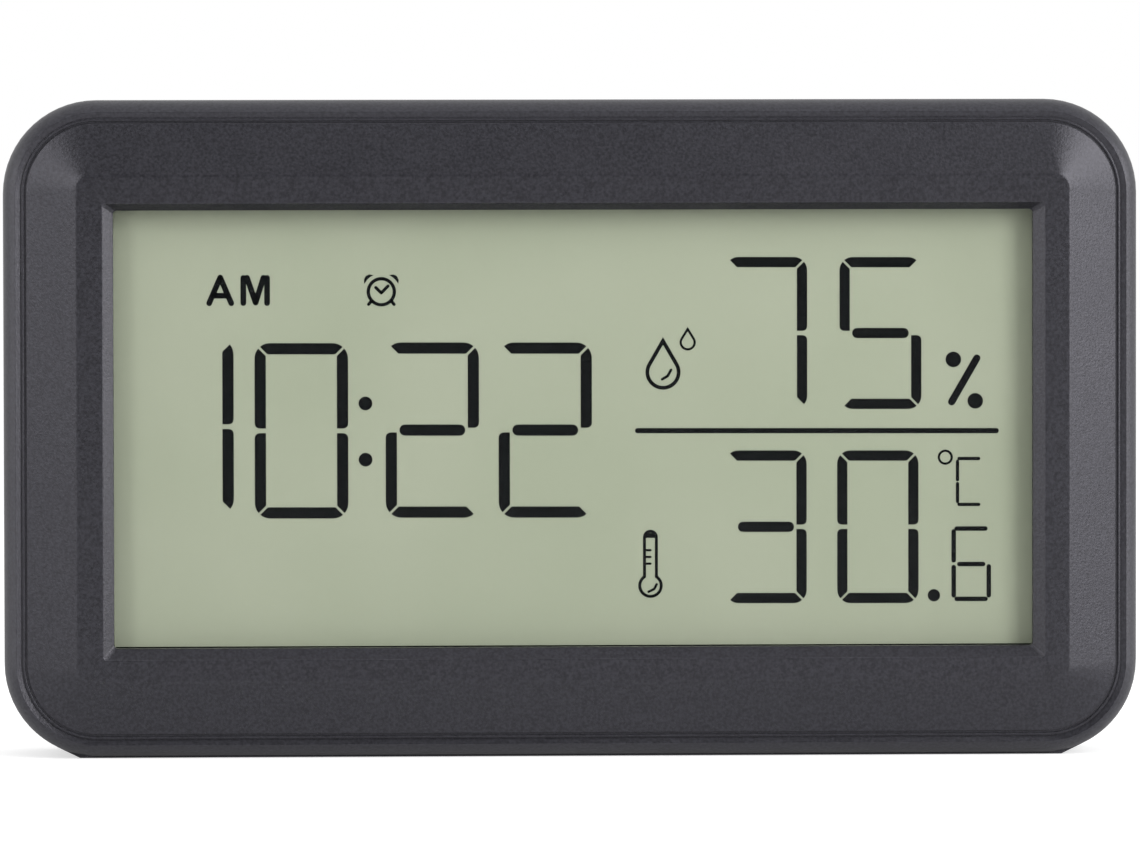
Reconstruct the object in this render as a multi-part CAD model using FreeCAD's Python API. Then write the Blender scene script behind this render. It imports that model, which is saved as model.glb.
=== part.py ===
import FreeCAD, Part
import math
import os

# Thermometer hygrometer clock with a liquid crystal display, in millimetres.
# X runs across the front, Y from the front face to the back, Z up.
# The origin is the middle of the footprint, at the height of the table.
# Depths are measured backwards from the foremost plane of the front frame,
# and heights named "rise" are measured up from the middle of the case.

# Case outline, as seen from the front
CASE_WIDTH = 135.0
CASE_HEIGHT = 78.0
CASE_CORNER = 11.1
BASE_DROP = 0.2
BASE_HALF_WIDTH = 58.6
BASE_FRONT = 4.8

# Rim of the rear case, which stands round the front frame
RIM_ROUND = 3.73
WIDEST_DEPTH = 5.0
RIM_WALL = 1.9
RIM_BEVEL = 0.45
RIM_BEVEL_DEPTH = 0.65
CASE_DRAFT = 0.5
DRAFT_START = 9.0
BACK_ROUND = 2.5

# Seam between the rim and the front frame
SEAM_GAP = 0.2
BEAD_WIDTH = 0.4
BEAD_SETBACK = 0.15
BEAD_CHAMFER = 0.12
GROOVE_WIDTH = 0.25
GROOVE_DEPTH = 0.35

# Face of the front frame: sloped band, flat face and bevel round the window
BAND_DROP = 1.9
BAND_WIDTH = 5.75
BAND_HEIGHT = 6.25
CREASE_CORNER = 1.6
FLAT_WIDTH = 2.9
FLAT_HEIGHT_TOP = 3.25
FLAT_HEIGHT_BOTTOM = 2.6
BEVEL_WIDTH = 1.4
BEVEL_HEIGHT_TOP = 0.85
BEVEL_HEIGHT_BOTTOM = 1.5
BEVEL_DEPTH = 1.9
WINDOW_LAND = 0.4
WINDOW_CORNER = 0.45
BAND_BACKING = 1.5
SKIRT_WALL = 1.8
SKIRT_END = 6.5

# Display stack, from the window backwards
LENS_THICKNESS = 1.0
LENS_LAP_SIDE = 1.5
LENS_LAP_HEIGHT = 3.1
POLARISER_THICKNESS = 0.2
POLARISER_MARGIN = 1.0
GLASS_THICKNESS = 1.1
GLASS_LEDGE = 2.7
GLASS_PLAY = 0.15
TRAY_WALL_SIDE = 1.15
TRAY_WALL_HEIGHT = 1.35
TRAY_CORNER = 1.0
TRAY_PLAY = 0.1
TRAY_FLOOR = 2.5
TRAY_LUG_THICKNESS = 2.0
TRAY_LUG_RADIUS = 2.0
TRAY_LUG_EDGE = 17.5
TRAY_LUG_REACH = 2.4
STRIP_THICKNESS = 2.0
STRIP_END_MARGIN = 6.2
STRIP_MARGIN = 0.3
STRIP_PLAY = 0.1

# Circuit board and what stands on it
BOARD_THICKNESS = 1.2
BOARD_MARGIN_SIDE = 2.5
BOARD_MARGIN_BOTTOM = 0.5
BOARD_TOP_RISE = 22.0
BOARD_CORNER = 1.5
BOARD_SCREW_EDGE = 3.0
BOARD_SCREW_BAY_GAP = 4.35
BOARD_SCREW_BOTTOM_EDGE = 10.0
BOARD_SCREW_TOP_EDGE = 3.5
CHIP_COVER_RADIUS = 7.0
CHIP_COVER_HEIGHT = 1.6
CHIP_COVER_X = -8.0
CHIP_COVER_RISE = -6.0
CRYSTAL_RADIUS = 1.0
CRYSTAL_LENGTH = 6.0
CRYSTAL_LEAD_THICKNESS = 0.3
CRYSTAL_CHIP_OFFSET = 4.0
CRYSTAL_RISE = -17.0
CAPACITOR_RADIUS = 2.5
CAPACITOR_HEIGHT = 6.0
CAPACITOR_RISE = 12.0
CHIP_PART_LENGTH = 2.0
CHIP_PART_WIDTH = 1.25
CHIP_PART_HEIGHT = 0.6
CHIP_PART_PITCH = 3.4
CHIP_PART_COUNT = 5
CHIP_PART_ROW_RISES = (-14.0, 6.0)
CHIP_PART_SWITCH_GAP = 4.4

# Sensors and buzzer, near the right end of the board
SENSOR_EDGE = 5.0
SENSOR_SCREW_RISE = 11.5
SENSOR_WIDTH = 8.0
SENSOR_HEIGHT = 11.0
SENSOR_THICKNESS = 2.6
SENSOR_SLOT_HEIGHT = 0.9
SENSOR_SLOT_PITCH = 2.2
SENSOR_SLOT_COUNT = 4
SENSOR_SLOT_DEPTH = 0.8
SENSOR_SLOT_EDGE = 1.2
THERMISTOR_EDGE = 13.5
THERMISTOR_RISE = -14.0
THERMISTOR_BEAD = 1.3
THERMISTOR_STANDOFF = 7.0
THERMISTOR_LEG_RADIUS = 0.25
THERMISTOR_LEG_SPREAD = 0.7
BUZZER_EDGE = 8.0
BUZZER_RISE = 11.0
BUZZER_RADIUS = 4.6
BUZZER_HEIGHT = 4.4
BUZZER_EDGE_CHAMFER = 0.5
BUZZER_MOUTH_RADIUS = 0.9
BUZZER_MOUTH_DEPTH = 1.2

# Push buttons on the back, and the switches that they press
BUTTON_SENSOR_PITCH = 8.5
BUTTON_PITCH = 11.5
BUTTON_HALF_WIDTH = 4.5
BUTTON_HALF_HEIGHT = 2.3
BUTTON_PROUD = 0.8
BUTTON_PLAY = 0.2
BUTTON_EDGE_CHAMFER = 0.35
BUTTON_LIP = 0.9
BUTTON_LIP_THICKNESS = 0.8
BUTTON_STEM_HALF_WIDTH = 1.2
SWITCH_HALF_WIDTH = 3.0
SWITCH_HEIGHT = 3.5
SWITCH_WELL_RADIUS = 1.95
SWITCH_WELL_DEPTH = 1.0
PLUNGER_RADIUS = 1.75
PLUNGER_SUNK = 0.5
PLUNGER_PROUD = 1.2
BUTTON_NAMES = ("down", "up", "alarm", "mode")

# Battery bay in the left part of the back, with two upright cells
CELL_RADIUS = 5.25
CELL_BODY_LENGTH = 43.5
CELL_NUB_RADIUS = 1.9
CELL_NUB_LENGTH = 1.0
CELL_EDGE_CHAMFER = 0.4
CELL_GAP = 0.7
CELL_SIDE_PLAY = 0.6
CELL_FLOOR_PLAY = 0.2
CELL_DOOR_PLAY = 0.3
BAY_WALL = 1.2
BAY_BOARD_GAP = 0.4
BAY_COLUMN_GAP = 1.15
CONTACT_THICKNESS = 0.4
CONTACT_HALF_WIDTH = 4.3
CONTACT_EDGE_GAP = 1.0
CONTACT_DIMPLE_RADIUS = 1.5
CONTACT_TAB_HALF_WIDTH = 1.5
CONTACT_TAB_REACH = 1.4
CONTACT_SLOT_PLAY = 0.15
SPRING_LENGTH = 4.9
SPRING_WIRE = 0.6
SPRING_BASE_RADIUS = 3.4
SPRING_TOP_RADIUS = 2.6
SPRING_HALF_TURNS = 5
DOOR_THICKNESS = 1.8
DOOR_LAP = 1.0
DOOR_CORNER = 1.5
DOOR_PLAY = 0.2
DOOR_TAB_HALF_WIDTH = 2.5
DOOR_TAB_OFFSET = 6.0
DOOR_TAB_THICKNESS = 0.8
DOOR_TAB_REACH = 1.6
DOOR_TAB_SIDE_PLAY = 0.3
DOOR_TAB_SWING = 0.8
DOOR_TAB_SKIN = 0.8
DOOR_TONGUE_HALF_WIDTH = 4.5
DOOR_TONGUE_REACH = 2.2
DOOR_TONGUE_THICKNESS = 1.1
DOOR_DIP_RADIUS = 7.0
DOOR_DIP_DEPTH = 1.1
LEAD_RADIUS = 0.4
LEAD_BAY_GAP = 3.35
LEAD_PITCH = 4.5
LEAD_PAD_RISE = -25.0
LEAD_WALL_GAP = 1.8
LEAD_LAYER_GAP = 1.4
LEAD_ARCH = 5.6
LEAD_TRIM_SHARE = 0.45
WIRE_SIDES = 6

# Fold-out stand leg in the middle of the back
LEG_BUTTON_GAP = 5.7
LEG_THICKNESS = 3.0
LEG_SKIN = 1.8
LEG_RIB = 1.8
LEG_CORNER = 5.0
LEG_BOTTOM_Z = 9.0
LEG_PIVOT_Z = 46.0
LEG_SUNK = 0.2
LEG_SIDE_PLAY = 0.4
LEG_FLOOR_PLAY = 0.25
LEG_PIN_RADIUS = 1.2
LEG_PIN_LENGTH = 2.0
LEG_PIN_PLAY = 0.05
LEG_PIN_END_PLAY = 0.2
LEG_RIB_COUNT = 2
PAN_WALL = 2.5
PAN_FLOOR = 1.5
SCOOP_HALF_WIDTH = 9.0
SCOOP_HEIGHT = 4.0
SCOOP_DEPTH = 1.2
SCOOP_ROUND_SHARE = 0.9

# Back wall: vent slots, sound slots and the keyhole for hanging
BACK_WALL = 2.0
VENT_HALF_WIDTH = 5.0
VENT_HALF_HEIGHT = 0.6
VENT_PITCH = 3.0
VENT_COUNT = 7
SOUND_HALF_WIDTH = 3.0
SOUND_HALF_HEIGHT = 0.5
SOUND_PITCH = 2.0
SOUND_COUNT = 3
KEYHOLE_RISE = 19.0
KEYHOLE_RADIUS = 4.0
KEYHOLE_SLOT_RADIUS = 2.0
KEYHOLE_SLOT_LENGTH = 5.5

# Screws: four through the back into the front frame, four in the tray lugs, four in the board
BOSS_RADIUS = 2.5
BOSS_SIDE_GAP = 0.4
BOSS_RISE_OFFSET = 1.1
BOSS_END = 12.9
COLUMN_RADIUS = 3.6
COLUMN_BORE_PLAY = 0.2
LEDGE_WALL = 3.0
LEDGE_HEIGHT = 2.0
SIDE_WALL = 2.2
CASE_SCREW_HEAD_RADIUS = 2.3
CASE_SCREW_HEAD_HEIGHT = 1.5
CASE_SCREW_RADIUS = 1.1
CASE_SCREW_LENGTH = 10.0
CASE_SCREW_SEAT = 17.0
CASE_SCREW_HEAD_PLAY = 0.4
SMALL_SCREW_HEAD_RADIUS = 1.6
SMALL_SCREW_HEAD_HEIGHT = 1.0
SMALL_SCREW_RADIUS = 0.8
SMALL_SCREW_BITE = 1.9
FRAME_SCREW_BITE = 1.6
SMALL_SCREW_PLAY = 0.1

# One overrun serves every cut
OVERRUN = 1.0
TOUCH = 0.001
ROD_SIDES = 8

# Places that follow from the sizes above
HALF_WIDTH = CASE_WIDTH / 2
HALF_HEIGHT = CASE_HEIGHT / 2
CENTRE_Z = BASE_DROP + HALF_HEIGHT

SKIRT_INSET = RIM_WALL + SEAM_GAP
BAND_INSET = SKIRT_INSET + BEAD_WIDTH + GROOVE_WIDTH
BEAD_FRONT = BAND_DROP + BEAD_SETBACK
CREASE_HALF_WIDTH = HALF_WIDTH - BAND_INSET - BAND_WIDTH
CREASE_HALF_HEIGHT = HALF_HEIGHT - BAND_INSET - BAND_HEIGHT
WINDOW_HALF_WIDTH = CREASE_HALF_WIDTH - FLAT_WIDTH - BEVEL_WIDTH
WINDOW_TOP = CREASE_HALF_HEIGHT - FLAT_HEIGHT_TOP - BEVEL_HEIGHT_TOP
WINDOW_BOTTOM = FLAT_HEIGHT_BOTTOM + BEVEL_HEIGHT_BOTTOM - CREASE_HALF_HEIGHT
PLATE_BACK = BEVEL_DEPTH + WINDOW_LAND
HOLLOW_FRONT = BAND_DROP + BAND_BACKING

GLASS_HALF_WIDTH = WINDOW_HALF_WIDTH + LENS_LAP_SIDE
GLASS_TOP = WINDOW_TOP + LENS_LAP_HEIGHT
GLASS_BOTTOM = WINDOW_BOTTOM - LENS_LAP_HEIGHT
LENS_BACK = PLATE_BACK + LENS_THICKNESS
FRONT_GLASS_DEPTH = LENS_BACK + POLARISER_THICKNESS
REAR_GLASS_DEPTH = FRONT_GLASS_DEPTH + GLASS_THICKNESS
REAR_POLARISER_DEPTH = REAR_GLASS_DEPTH + GLASS_THICKNESS
TRAY_SEAT = REAR_POLARISER_DEPTH + POLARISER_THICKNESS
TRAY_BACK = TRAY_SEAT + TRAY_FLOOR
TRAY_HALF_WIDTH = GLASS_HALF_WIDTH + GLASS_PLAY + TRAY_WALL_SIDE
TRAY_TOP = GLASS_TOP + GLASS_PLAY + TRAY_WALL_HEIGHT
TRAY_BOTTOM = GLASS_BOTTOM - GLASS_PLAY - TRAY_WALL_HEIGHT
TRAY_LUG_X = TRAY_HALF_WIDTH - TRAY_LUG_EDGE
STRIP_HALF_LENGTH = GLASS_HALF_WIDTH - STRIP_END_MARGIN
LUG_BACK = TRAY_BACK - TRAY_PLAY
LUG_FRONT = LUG_BACK - TRAY_LUG_THICKNESS

BOARD_FRONT = TRAY_BACK
BOARD_BACK = BOARD_FRONT + BOARD_THICKNESS
BOARD_HALF_WIDTH = TRAY_HALF_WIDTH - BOARD_MARGIN_SIDE
BOARD_BOTTOM_RISE = TRAY_BOTTOM + BOARD_MARGIN_BOTTOM

BAY_FLOOR_FRONT = BOARD_BACK + BAY_BOARD_GAP
BAY_FLOOR_BACK = BAY_FLOOR_FRONT + BAY_WALL
CELL_DEPTH = BAY_FLOOR_BACK + CELL_FLOOR_PLAY + CELL_RADIUS
DOOR_SEAT = CELL_DEPTH + CELL_RADIUS + CELL_DOOR_PLAY
CASE_DEPTH = DOOR_SEAT + DOOR_THICKNESS
BACK_INSIDE = CASE_DEPTH - BACK_WALL
FRONT_Y = -(CASE_DEPTH + BUTTON_PROUD) / 2

BOSS_X = TRAY_HALF_WIDTH + BOSS_SIDE_GAP + BOSS_RADIUS
BOSS_RISE = TRAY_TOP + BOSS_RISE_OFFSET

CELL_PITCH = CELL_RADIUS + CELL_RADIUS + CELL_GAP
BAY_HALF_WIDTH = CELL_PITCH / 2 + CELL_RADIUS + CELL_SIDE_PLAY
CELL_LENGTH = CELL_BODY_LENGTH + CELL_NUB_LENGTH
BAY_HALF_HEIGHT = (CELL_LENGTH + SPRING_LENGTH) / 2 + CONTACT_THICKNESS
BAY_X = -(BOSS_X - COLUMN_RADIUS - BAY_COLUMN_GAP - BAY_WALL - BAY_HALF_WIDTH)
DOOR_HALF_WIDTH = BAY_HALF_WIDTH + DOOR_LAP
DOOR_HALF_HEIGHT = BAY_HALF_HEIGHT + DOOR_LAP

BAY_EDGE_X = BAY_X + BAY_HALF_WIDTH + BAY_WALL
BOARD_SCREW_INNER_X = BAY_EDGE_X + BOARD_SCREW_BAY_GAP
BOARD_SCREW_LOW_RISE = BOARD_BOTTOM_RISE + BOARD_SCREW_BOTTOM_EDGE
BOARD_SCREW_HIGH_RISE = BOARD_TOP_RISE - BOARD_SCREW_TOP_EDGE
LEAD_POSITIVE_X = BAY_EDGE_X + LEAD_BAY_GAP
LEAD_NEGATIVE_X = LEAD_POSITIVE_X + LEAD_PITCH
LEAD_NEGATIVE_Z = BASE_DROP + SIDE_WALL + LEAD_WALL_GAP
LEAD_POSITIVE_Z = LEAD_NEGATIVE_Z + LEAD_LAYER_GAP

SENSOR_X = BOARD_HALF_WIDTH - SENSOR_EDGE
SENSOR_RISE = BOARD_SCREW_LOW_RISE + SENSOR_SCREW_RISE
THERMISTOR_X = BOARD_HALF_WIDTH - THERMISTOR_EDGE
BUZZER_X = BOARD_HALF_WIDTH - BUZZER_EDGE
BUTTON_X = THERMISTOR_X - BUTTON_SENSOR_PITCH
CHIP_PART_END_X = BUTTON_X - SWITCH_HALF_WIDTH - CHIP_PART_SWITCH_GAP
CHIP_PART_START_X = CHIP_PART_END_X - CHIP_PART_LENGTH - CHIP_PART_PITCH * (CHIP_PART_COUNT - 1)
CAPACITOR_X = CHIP_PART_START_X + CHIP_PART_LENGTH
CRYSTAL_X = CHIP_PART_START_X - CRYSTAL_CHIP_OFFSET

LEG_BACK = CASE_DEPTH - LEG_SUNK
LEG_FRONT = LEG_BACK - LEG_THICKNESS
LEG_PIVOT_DEPTH = (LEG_FRONT + LEG_BACK) / 2
PAN_SEAT = LEG_FRONT - LEG_FLOOR_PLAY
PAN_HALF_WIDTH = BUTTON_X - BUTTON_HALF_WIDTH - BUTTON_LIP - LEG_BUTTON_GAP - PAN_WALL
LEG_HALF_WIDTH = PAN_HALF_WIDTH - LEG_SIDE_PLAY


def place(x, depth, z):
    """Point at x, at a depth behind the front plane, at a height above the table."""
    return FreeCAD.Vector(x, FRONT_Y + depth, z)


def block(x_range, depth_range, z_range):
    """Plain box between two values along each direction."""
    corner = place(x_range[0], depth_range[0], z_range[0])
    length = x_range[1] - x_range[0]
    width = depth_range[1] - depth_range[0]
    height = z_range[1] - z_range[0]
    return Part.makeBox(length, width, height, corner)


def rod(x, z, radius, depth_range):
    """Cylinder that runs from front to back."""
    length = depth_range[1] - depth_range[0]
    return Part.makeCylinder(radius, length, place(x, depth_range[0], z), FreeCAD.Vector(0, 1, 0))


def flat_sided(start, way, radius, sides):
    """Outline with equal flat sides round a point, square to a direction."""
    across = way.cross(FreeCAD.Vector(0, 1, 0))
    if across.Length < TOUCH:
        across = way.cross(FreeCAD.Vector(1, 0, 0))
    across = across.normalize() * radius
    beside = (way * (1 / way.Length)).cross(across)
    corners = []
    for side in range(sides + 1):
        angle = 2 * math.pi * (side % sides) / sides
        corners.append(start + across * math.cos(angle) + beside * math.sin(angle))
    return Part.makePolygon(corners)


def small_rod(x, z, radius, depth_range):
    """Thin rod from front to back, with flat sides: too small for its roundness to show."""
    along = FreeCAD.Vector(0, depth_range[1] - depth_range[0], 0)
    outline = flat_sided(place(x, depth_range[0], z), along, radius, ROD_SIDES)
    return Part.Face(outline).extrude(along)


def upright(x, depth, radius, z_range):
    """Cylinder that stands upright."""
    length = z_range[1] - z_range[0]
    return Part.makeCylinder(radius, length, place(x, depth, z_range[0]), FreeCAD.Vector(0, 0, 1))


def cross_pin(x_range, depth, z, radius):
    """Cylinder that lies from left to right."""
    length = x_range[1] - x_range[0]
    return Part.makeCylinder(radius, length, place(x_range[0], depth, z), FreeCAD.Vector(1, 0, 0))


def rounded_outline(x_range, z_range, radius, depth):
    """Closed rounded rectangle in the plane at one depth, four arcs and four lines."""
    arcs = []
    for turn in range(4):
        right = turn in (0, 3)
        top = turn in (0, 1)
        centre_x = x_range[1] - radius if right else x_range[0] + radius
        centre_z = z_range[1] - radius if top else z_range[0] + radius
        points = []
        for step in range(3):
            angle = math.radians(90 * turn + 45 * step)
            along = centre_x + radius * math.cos(angle)
            up = centre_z + radius * math.sin(angle)
            points.append(place(along, depth, up))
        arcs.append(points)
    edges = []
    for turn in range(4):
        following = arcs[(turn + 1) % 4]
        edges.append(Part.Arc(*arcs[turn]).toShape())
        if arcs[turn][2].distanceToPoint(following[0]) > TOUCH:
            edges.append(Part.LineSegment(arcs[turn][2], following[0]).toShape())
    return Part.Wire(edges)


def rounded_slab(x_range, z_range, radius, depth_range):
    """Rounded rectangle extruded from front to back."""
    face = Part.Face(rounded_outline(x_range, z_range, radius, depth_range[0]))
    return face.extrude(FreeCAD.Vector(0, depth_range[1] - depth_range[0], 0))


def case_outline(inset, depth):
    """The case outline, drawn in by an inset all round, at one depth."""
    x_range = (inset - HALF_WIDTH, HALF_WIDTH - inset)
    z_range = (CENTRE_Z - HALF_HEIGHT + inset, CENTRE_Z + HALF_HEIGHT - inset)
    return rounded_outline(x_range, z_range, CASE_CORNER - inset, depth)


def case_slab(inset, depth_range):
    """Solid with the case outline, drawn in by an inset, between two depths."""
    face = Part.Face(case_outline(inset, depth_range[0]))
    return face.extrude(FreeCAD.Vector(0, depth_range[1] - depth_range[0], 0))


def bridge(first, second):
    """Solid with straight flanks between two outlines."""
    return Part.makeLoft([first, second], True, True)


def edges_at_depth(shape, depth):
    """Edges that lie wholly in the plane at one depth."""
    level = FRONT_Y + depth
    chosen = []
    for edge in shape.Edges:
        box = edge.BoundBox
        if abs(box.YMin - level) < TOUCH and abs(box.YMax - level) < TOUCH:
            chosen.append(edge)
    return chosen


def fuse_all(shapes):
    """One solid out of several that touch or overlap."""
    return shapes[0].multiFuse(shapes[1:]).removeSplitter()


def screw_places():
    """Centres of the four case screws, as pairs of x and z."""
    return [(side * BOSS_X, CENTRE_Z + level * BOSS_RISE) for side in (-1, 1) for level in (-1, 1)]


def lug_places():
    """Centres of the four tray lugs, as x, z and which way the tray lies from them."""
    upper = CENTRE_Z + TRAY_TOP + TRAY_LUG_REACH
    lower = CENTRE_Z + TRAY_BOTTOM - TRAY_LUG_REACH
    return [(side * TRAY_LUG_X, z, way) for side in (-1, 1) for z, way in ((upper, -1), (lower, 1))]


def board_screw_places():
    """Centres of the four board screws."""
    columns = (BOARD_SCREW_INNER_X, BOARD_HALF_WIDTH - BOARD_SCREW_EDGE)
    rows = (CENTRE_Z + BOARD_SCREW_LOW_RISE, CENTRE_Z + BOARD_SCREW_HIGH_RISE)
    return [(x, z) for x in columns for z in rows]


def cell_places():
    """Centres of the two cells: x, and 1 where the plus end is up or -1 where it is down."""
    return [(BAY_X - CELL_PITCH / 2, 1), (BAY_X + CELL_PITCH / 2, -1)]


def button_heights():
    """Heights of the four buttons, from the lowest up."""
    lowest = CENTRE_Z - BUTTON_PITCH * (len(BUTTON_NAMES) - 1) / 2
    return [lowest + BUTTON_PITCH * row for row in range(len(BUTTON_NAMES))]


def case_body():
    """Outer form of the rear case: rounded rim, drafted sides, rounded back edge and flat base."""
    rim_front = WIDEST_DEPTH - RIM_ROUND
    front = case_slab(0, (rim_front, DRAFT_START))
    front = front.makeFillet(RIM_ROUND, edges_at_depth(front, rim_front))
    rear = bridge(case_outline(0, DRAFT_START), case_outline(CASE_DRAFT, CASE_DEPTH))
    rear = rear.makeFillet(BACK_ROUND, edges_at_depth(rear, CASE_DEPTH))
    base_depths = (BASE_FRONT, CASE_DEPTH - BACK_ROUND)
    base = block((-BASE_HALF_WIDTH, BASE_HALF_WIDTH), base_depths, (0, BASE_DROP + SIDE_WALL))
    return fuse_all([front, rear, base])


def case_hollow():
    """Room inside the rear case, with the bevelled mouth of the rim."""
    ledge_back = SKIRT_END + LEDGE_HEIGHT
    mouth = case_slab(RIM_WALL, (-OVERRUN, SKIRT_END))
    ledge = case_slab(LEDGE_WALL, (SKIRT_END - OVERRUN, ledge_back + OVERRUN))
    room = case_slab(SIDE_WALL, (ledge_back, BACK_INSIDE))
    reach = math.sqrt(RIM_ROUND ** 2 - (RIM_ROUND - RIM_WALL + RIM_BEVEL) ** 2)
    bevel_front = WIDEST_DEPTH - reach
    outer = case_outline(RIM_WALL - RIM_BEVEL, bevel_front)
    inner = case_outline(RIM_WALL, bevel_front + RIM_BEVEL_DEPTH)
    bevel = bridge(outer, inner)
    front = case_slab(RIM_WALL - RIM_BEVEL, (-OVERRUN, bevel_front))
    return [mouth, ledge, room, bevel, front]


def bay_block():
    """Walls and floor of the battery bay, before it is hollowed."""
    half_width = BAY_HALF_WIDTH + BAY_WALL
    half_height = BAY_HALF_HEIGHT + BAY_WALL
    x_range = (BAY_X - half_width, BAY_X + half_width)
    return block(x_range, (BAY_FLOOR_FRONT, DOOR_SEAT), (CENTRE_Z - half_height, CENTRE_Z + half_height))


def pan_block():
    """Walls and floor of the stand recess, before it is hollowed."""
    half_width = PAN_HALF_WIDTH + PAN_WALL
    bottom = LEG_BOTTOM_Z - LEG_SIDE_PLAY - PAN_WALL
    top = LEG_PIVOT_Z + LEG_THICKNESS / 2 + LEG_SIDE_PLAY + PAN_WALL
    return block((-half_width, half_width), (PAN_SEAT - PAN_FLOOR, BACK_INSIDE), (bottom, top))


def bay_cuts():
    """What opens the battery bay: the room for the cells, the door seat and its notches."""
    x_range = (BAY_X - BAY_HALF_WIDTH, BAY_X + BAY_HALF_WIDTH)
    z_range = (CENTRE_Z - BAY_HALF_HEIGHT, CENTRE_Z + BAY_HALF_HEIGHT)
    behind = CASE_DEPTH + OVERRUN
    cuts = [block(x_range, (BAY_FLOOR_BACK, behind), z_range)]
    seat_half_width = DOOR_HALF_WIDTH + DOOR_PLAY
    seat_half_height = DOOR_HALF_HEIGHT + DOOR_PLAY
    seat_x = (BAY_X - seat_half_width, BAY_X + seat_half_width)
    seat_z = (CENTRE_Z - seat_half_height, CENTRE_Z + seat_half_height)
    cuts.append(rounded_slab(seat_x, seat_z, DOOR_CORNER + DOOR_PLAY, (DOOR_SEAT, behind)))
    notch_half = DOOR_TAB_HALF_WIDTH + DOOR_TAB_SIDE_PLAY
    notch_top = CENTRE_Z + DOOR_HALF_HEIGHT + DOOR_TAB_REACH + DOOR_TAB_SWING
    notch_depths = (DOOR_SEAT - DOOR_TAB_SWING, CASE_DEPTH - DOOR_TAB_SKIN)
    for side in (-1, 1):
        middle = BAY_X + side * DOOR_TAB_OFFSET
        notch_z = (CENTRE_Z + BAY_HALF_HEIGHT - OVERRUN, notch_top)
        cuts.append(block((middle - notch_half, middle + notch_half), notch_depths, notch_z))
    tongue_half = DOOR_TONGUE_HALF_WIDTH + DOOR_PLAY
    tongue_bottom = seat_z[0] - DOOR_TONGUE_REACH
    tongue_front = CASE_DEPTH - DOOR_TONGUE_THICKNESS - DOOR_PLAY
    tongue_x = (BAY_X - tongue_half, BAY_X + tongue_half)
    cuts.append(block(tongue_x, (tongue_front, behind), (tongue_bottom, seat_z[0] + OVERRUN)))
    dip = rod(BAY_X, tongue_bottom, DOOR_DIP_RADIUS, (CASE_DEPTH - DOOR_DIP_DEPTH, behind))
    dip_box = (tongue_bottom - DOOR_DIP_RADIUS / 2, tongue_bottom + DOOR_DIP_RADIUS / 2)
    dip_x = (BAY_X - DOOR_DIP_RADIUS, BAY_X + DOOR_DIP_RADIUS)
    cuts.append(dip.common(block(dip_x, (0, behind), dip_box)))
    slot_half = CONTACT_TAB_HALF_WIDTH + CONTACT_SLOT_PLAY
    slot_front = contact_front() - CONTACT_SLOT_PLAY
    slot_back = contact_front() + CONTACT_THICKNESS + CONTACT_SLOT_PLAY
    for x, plus_up in cell_places():
        slot_z = (z_range[0] - BAY_WALL - OVERRUN, z_range[0] + OVERRUN)
        cuts.append(block((x - slot_half, x + slot_half), (slot_front, slot_back), slot_z))
    return cuts


def stand_cuts():
    """Recess for the stand leg, its pivot holes and the scoop for a fingertip."""
    behind = CASE_DEPTH + OVERRUN
    bottom = LEG_BOTTOM_Z - LEG_SIDE_PLAY
    top = LEG_PIVOT_Z + LEG_THICKNESS / 2 + LEG_SIDE_PLAY
    corner = LEG_CORNER + LEG_SIDE_PLAY
    x_range = (-PAN_HALF_WIDTH, PAN_HALF_WIDTH)
    lower = rounded_slab(x_range, (bottom, top), corner, (PAN_SEAT, behind))
    upper = block(x_range, (PAN_SEAT, behind), (top - corner - OVERRUN, top))
    scoop_x = (-SCOOP_HALF_WIDTH, SCOOP_HALF_WIDTH)
    scoop_z = (bottom - SCOOP_HEIGHT, bottom + SCOOP_HEIGHT)
    scoop_corner = SCOOP_HEIGHT * SCOOP_ROUND_SHARE
    scoop = rounded_slab(scoop_x, scoop_z, scoop_corner, (CASE_DEPTH - SCOOP_DEPTH, behind))
    pin_reach = LEG_HALF_WIDTH + LEG_PIN_LENGTH + LEG_PIN_END_PLAY
    pin_hole = LEG_PIN_RADIUS + LEG_PIN_PLAY
    pins = cross_pin((-pin_reach, pin_reach), LEG_PIVOT_DEPTH, LEG_PIVOT_Z, pin_hole)
    return [lower, upper, scoop, pins]


def slot_row(x, z, half_width, half_height, pitch, count):
    """Level slots through the back wall, one above another round a middle height."""
    through = (BACK_INSIDE - OVERRUN, CASE_DEPTH + OVERRUN)
    lowest = z - pitch * (count - 1) / 2
    slots = []
    for row in range(count):
        middle = lowest + pitch * row
        z_range = (middle - half_height, middle + half_height)
        slots.append(block((x - half_width, x + half_width), through, z_range))
    return slots


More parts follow.
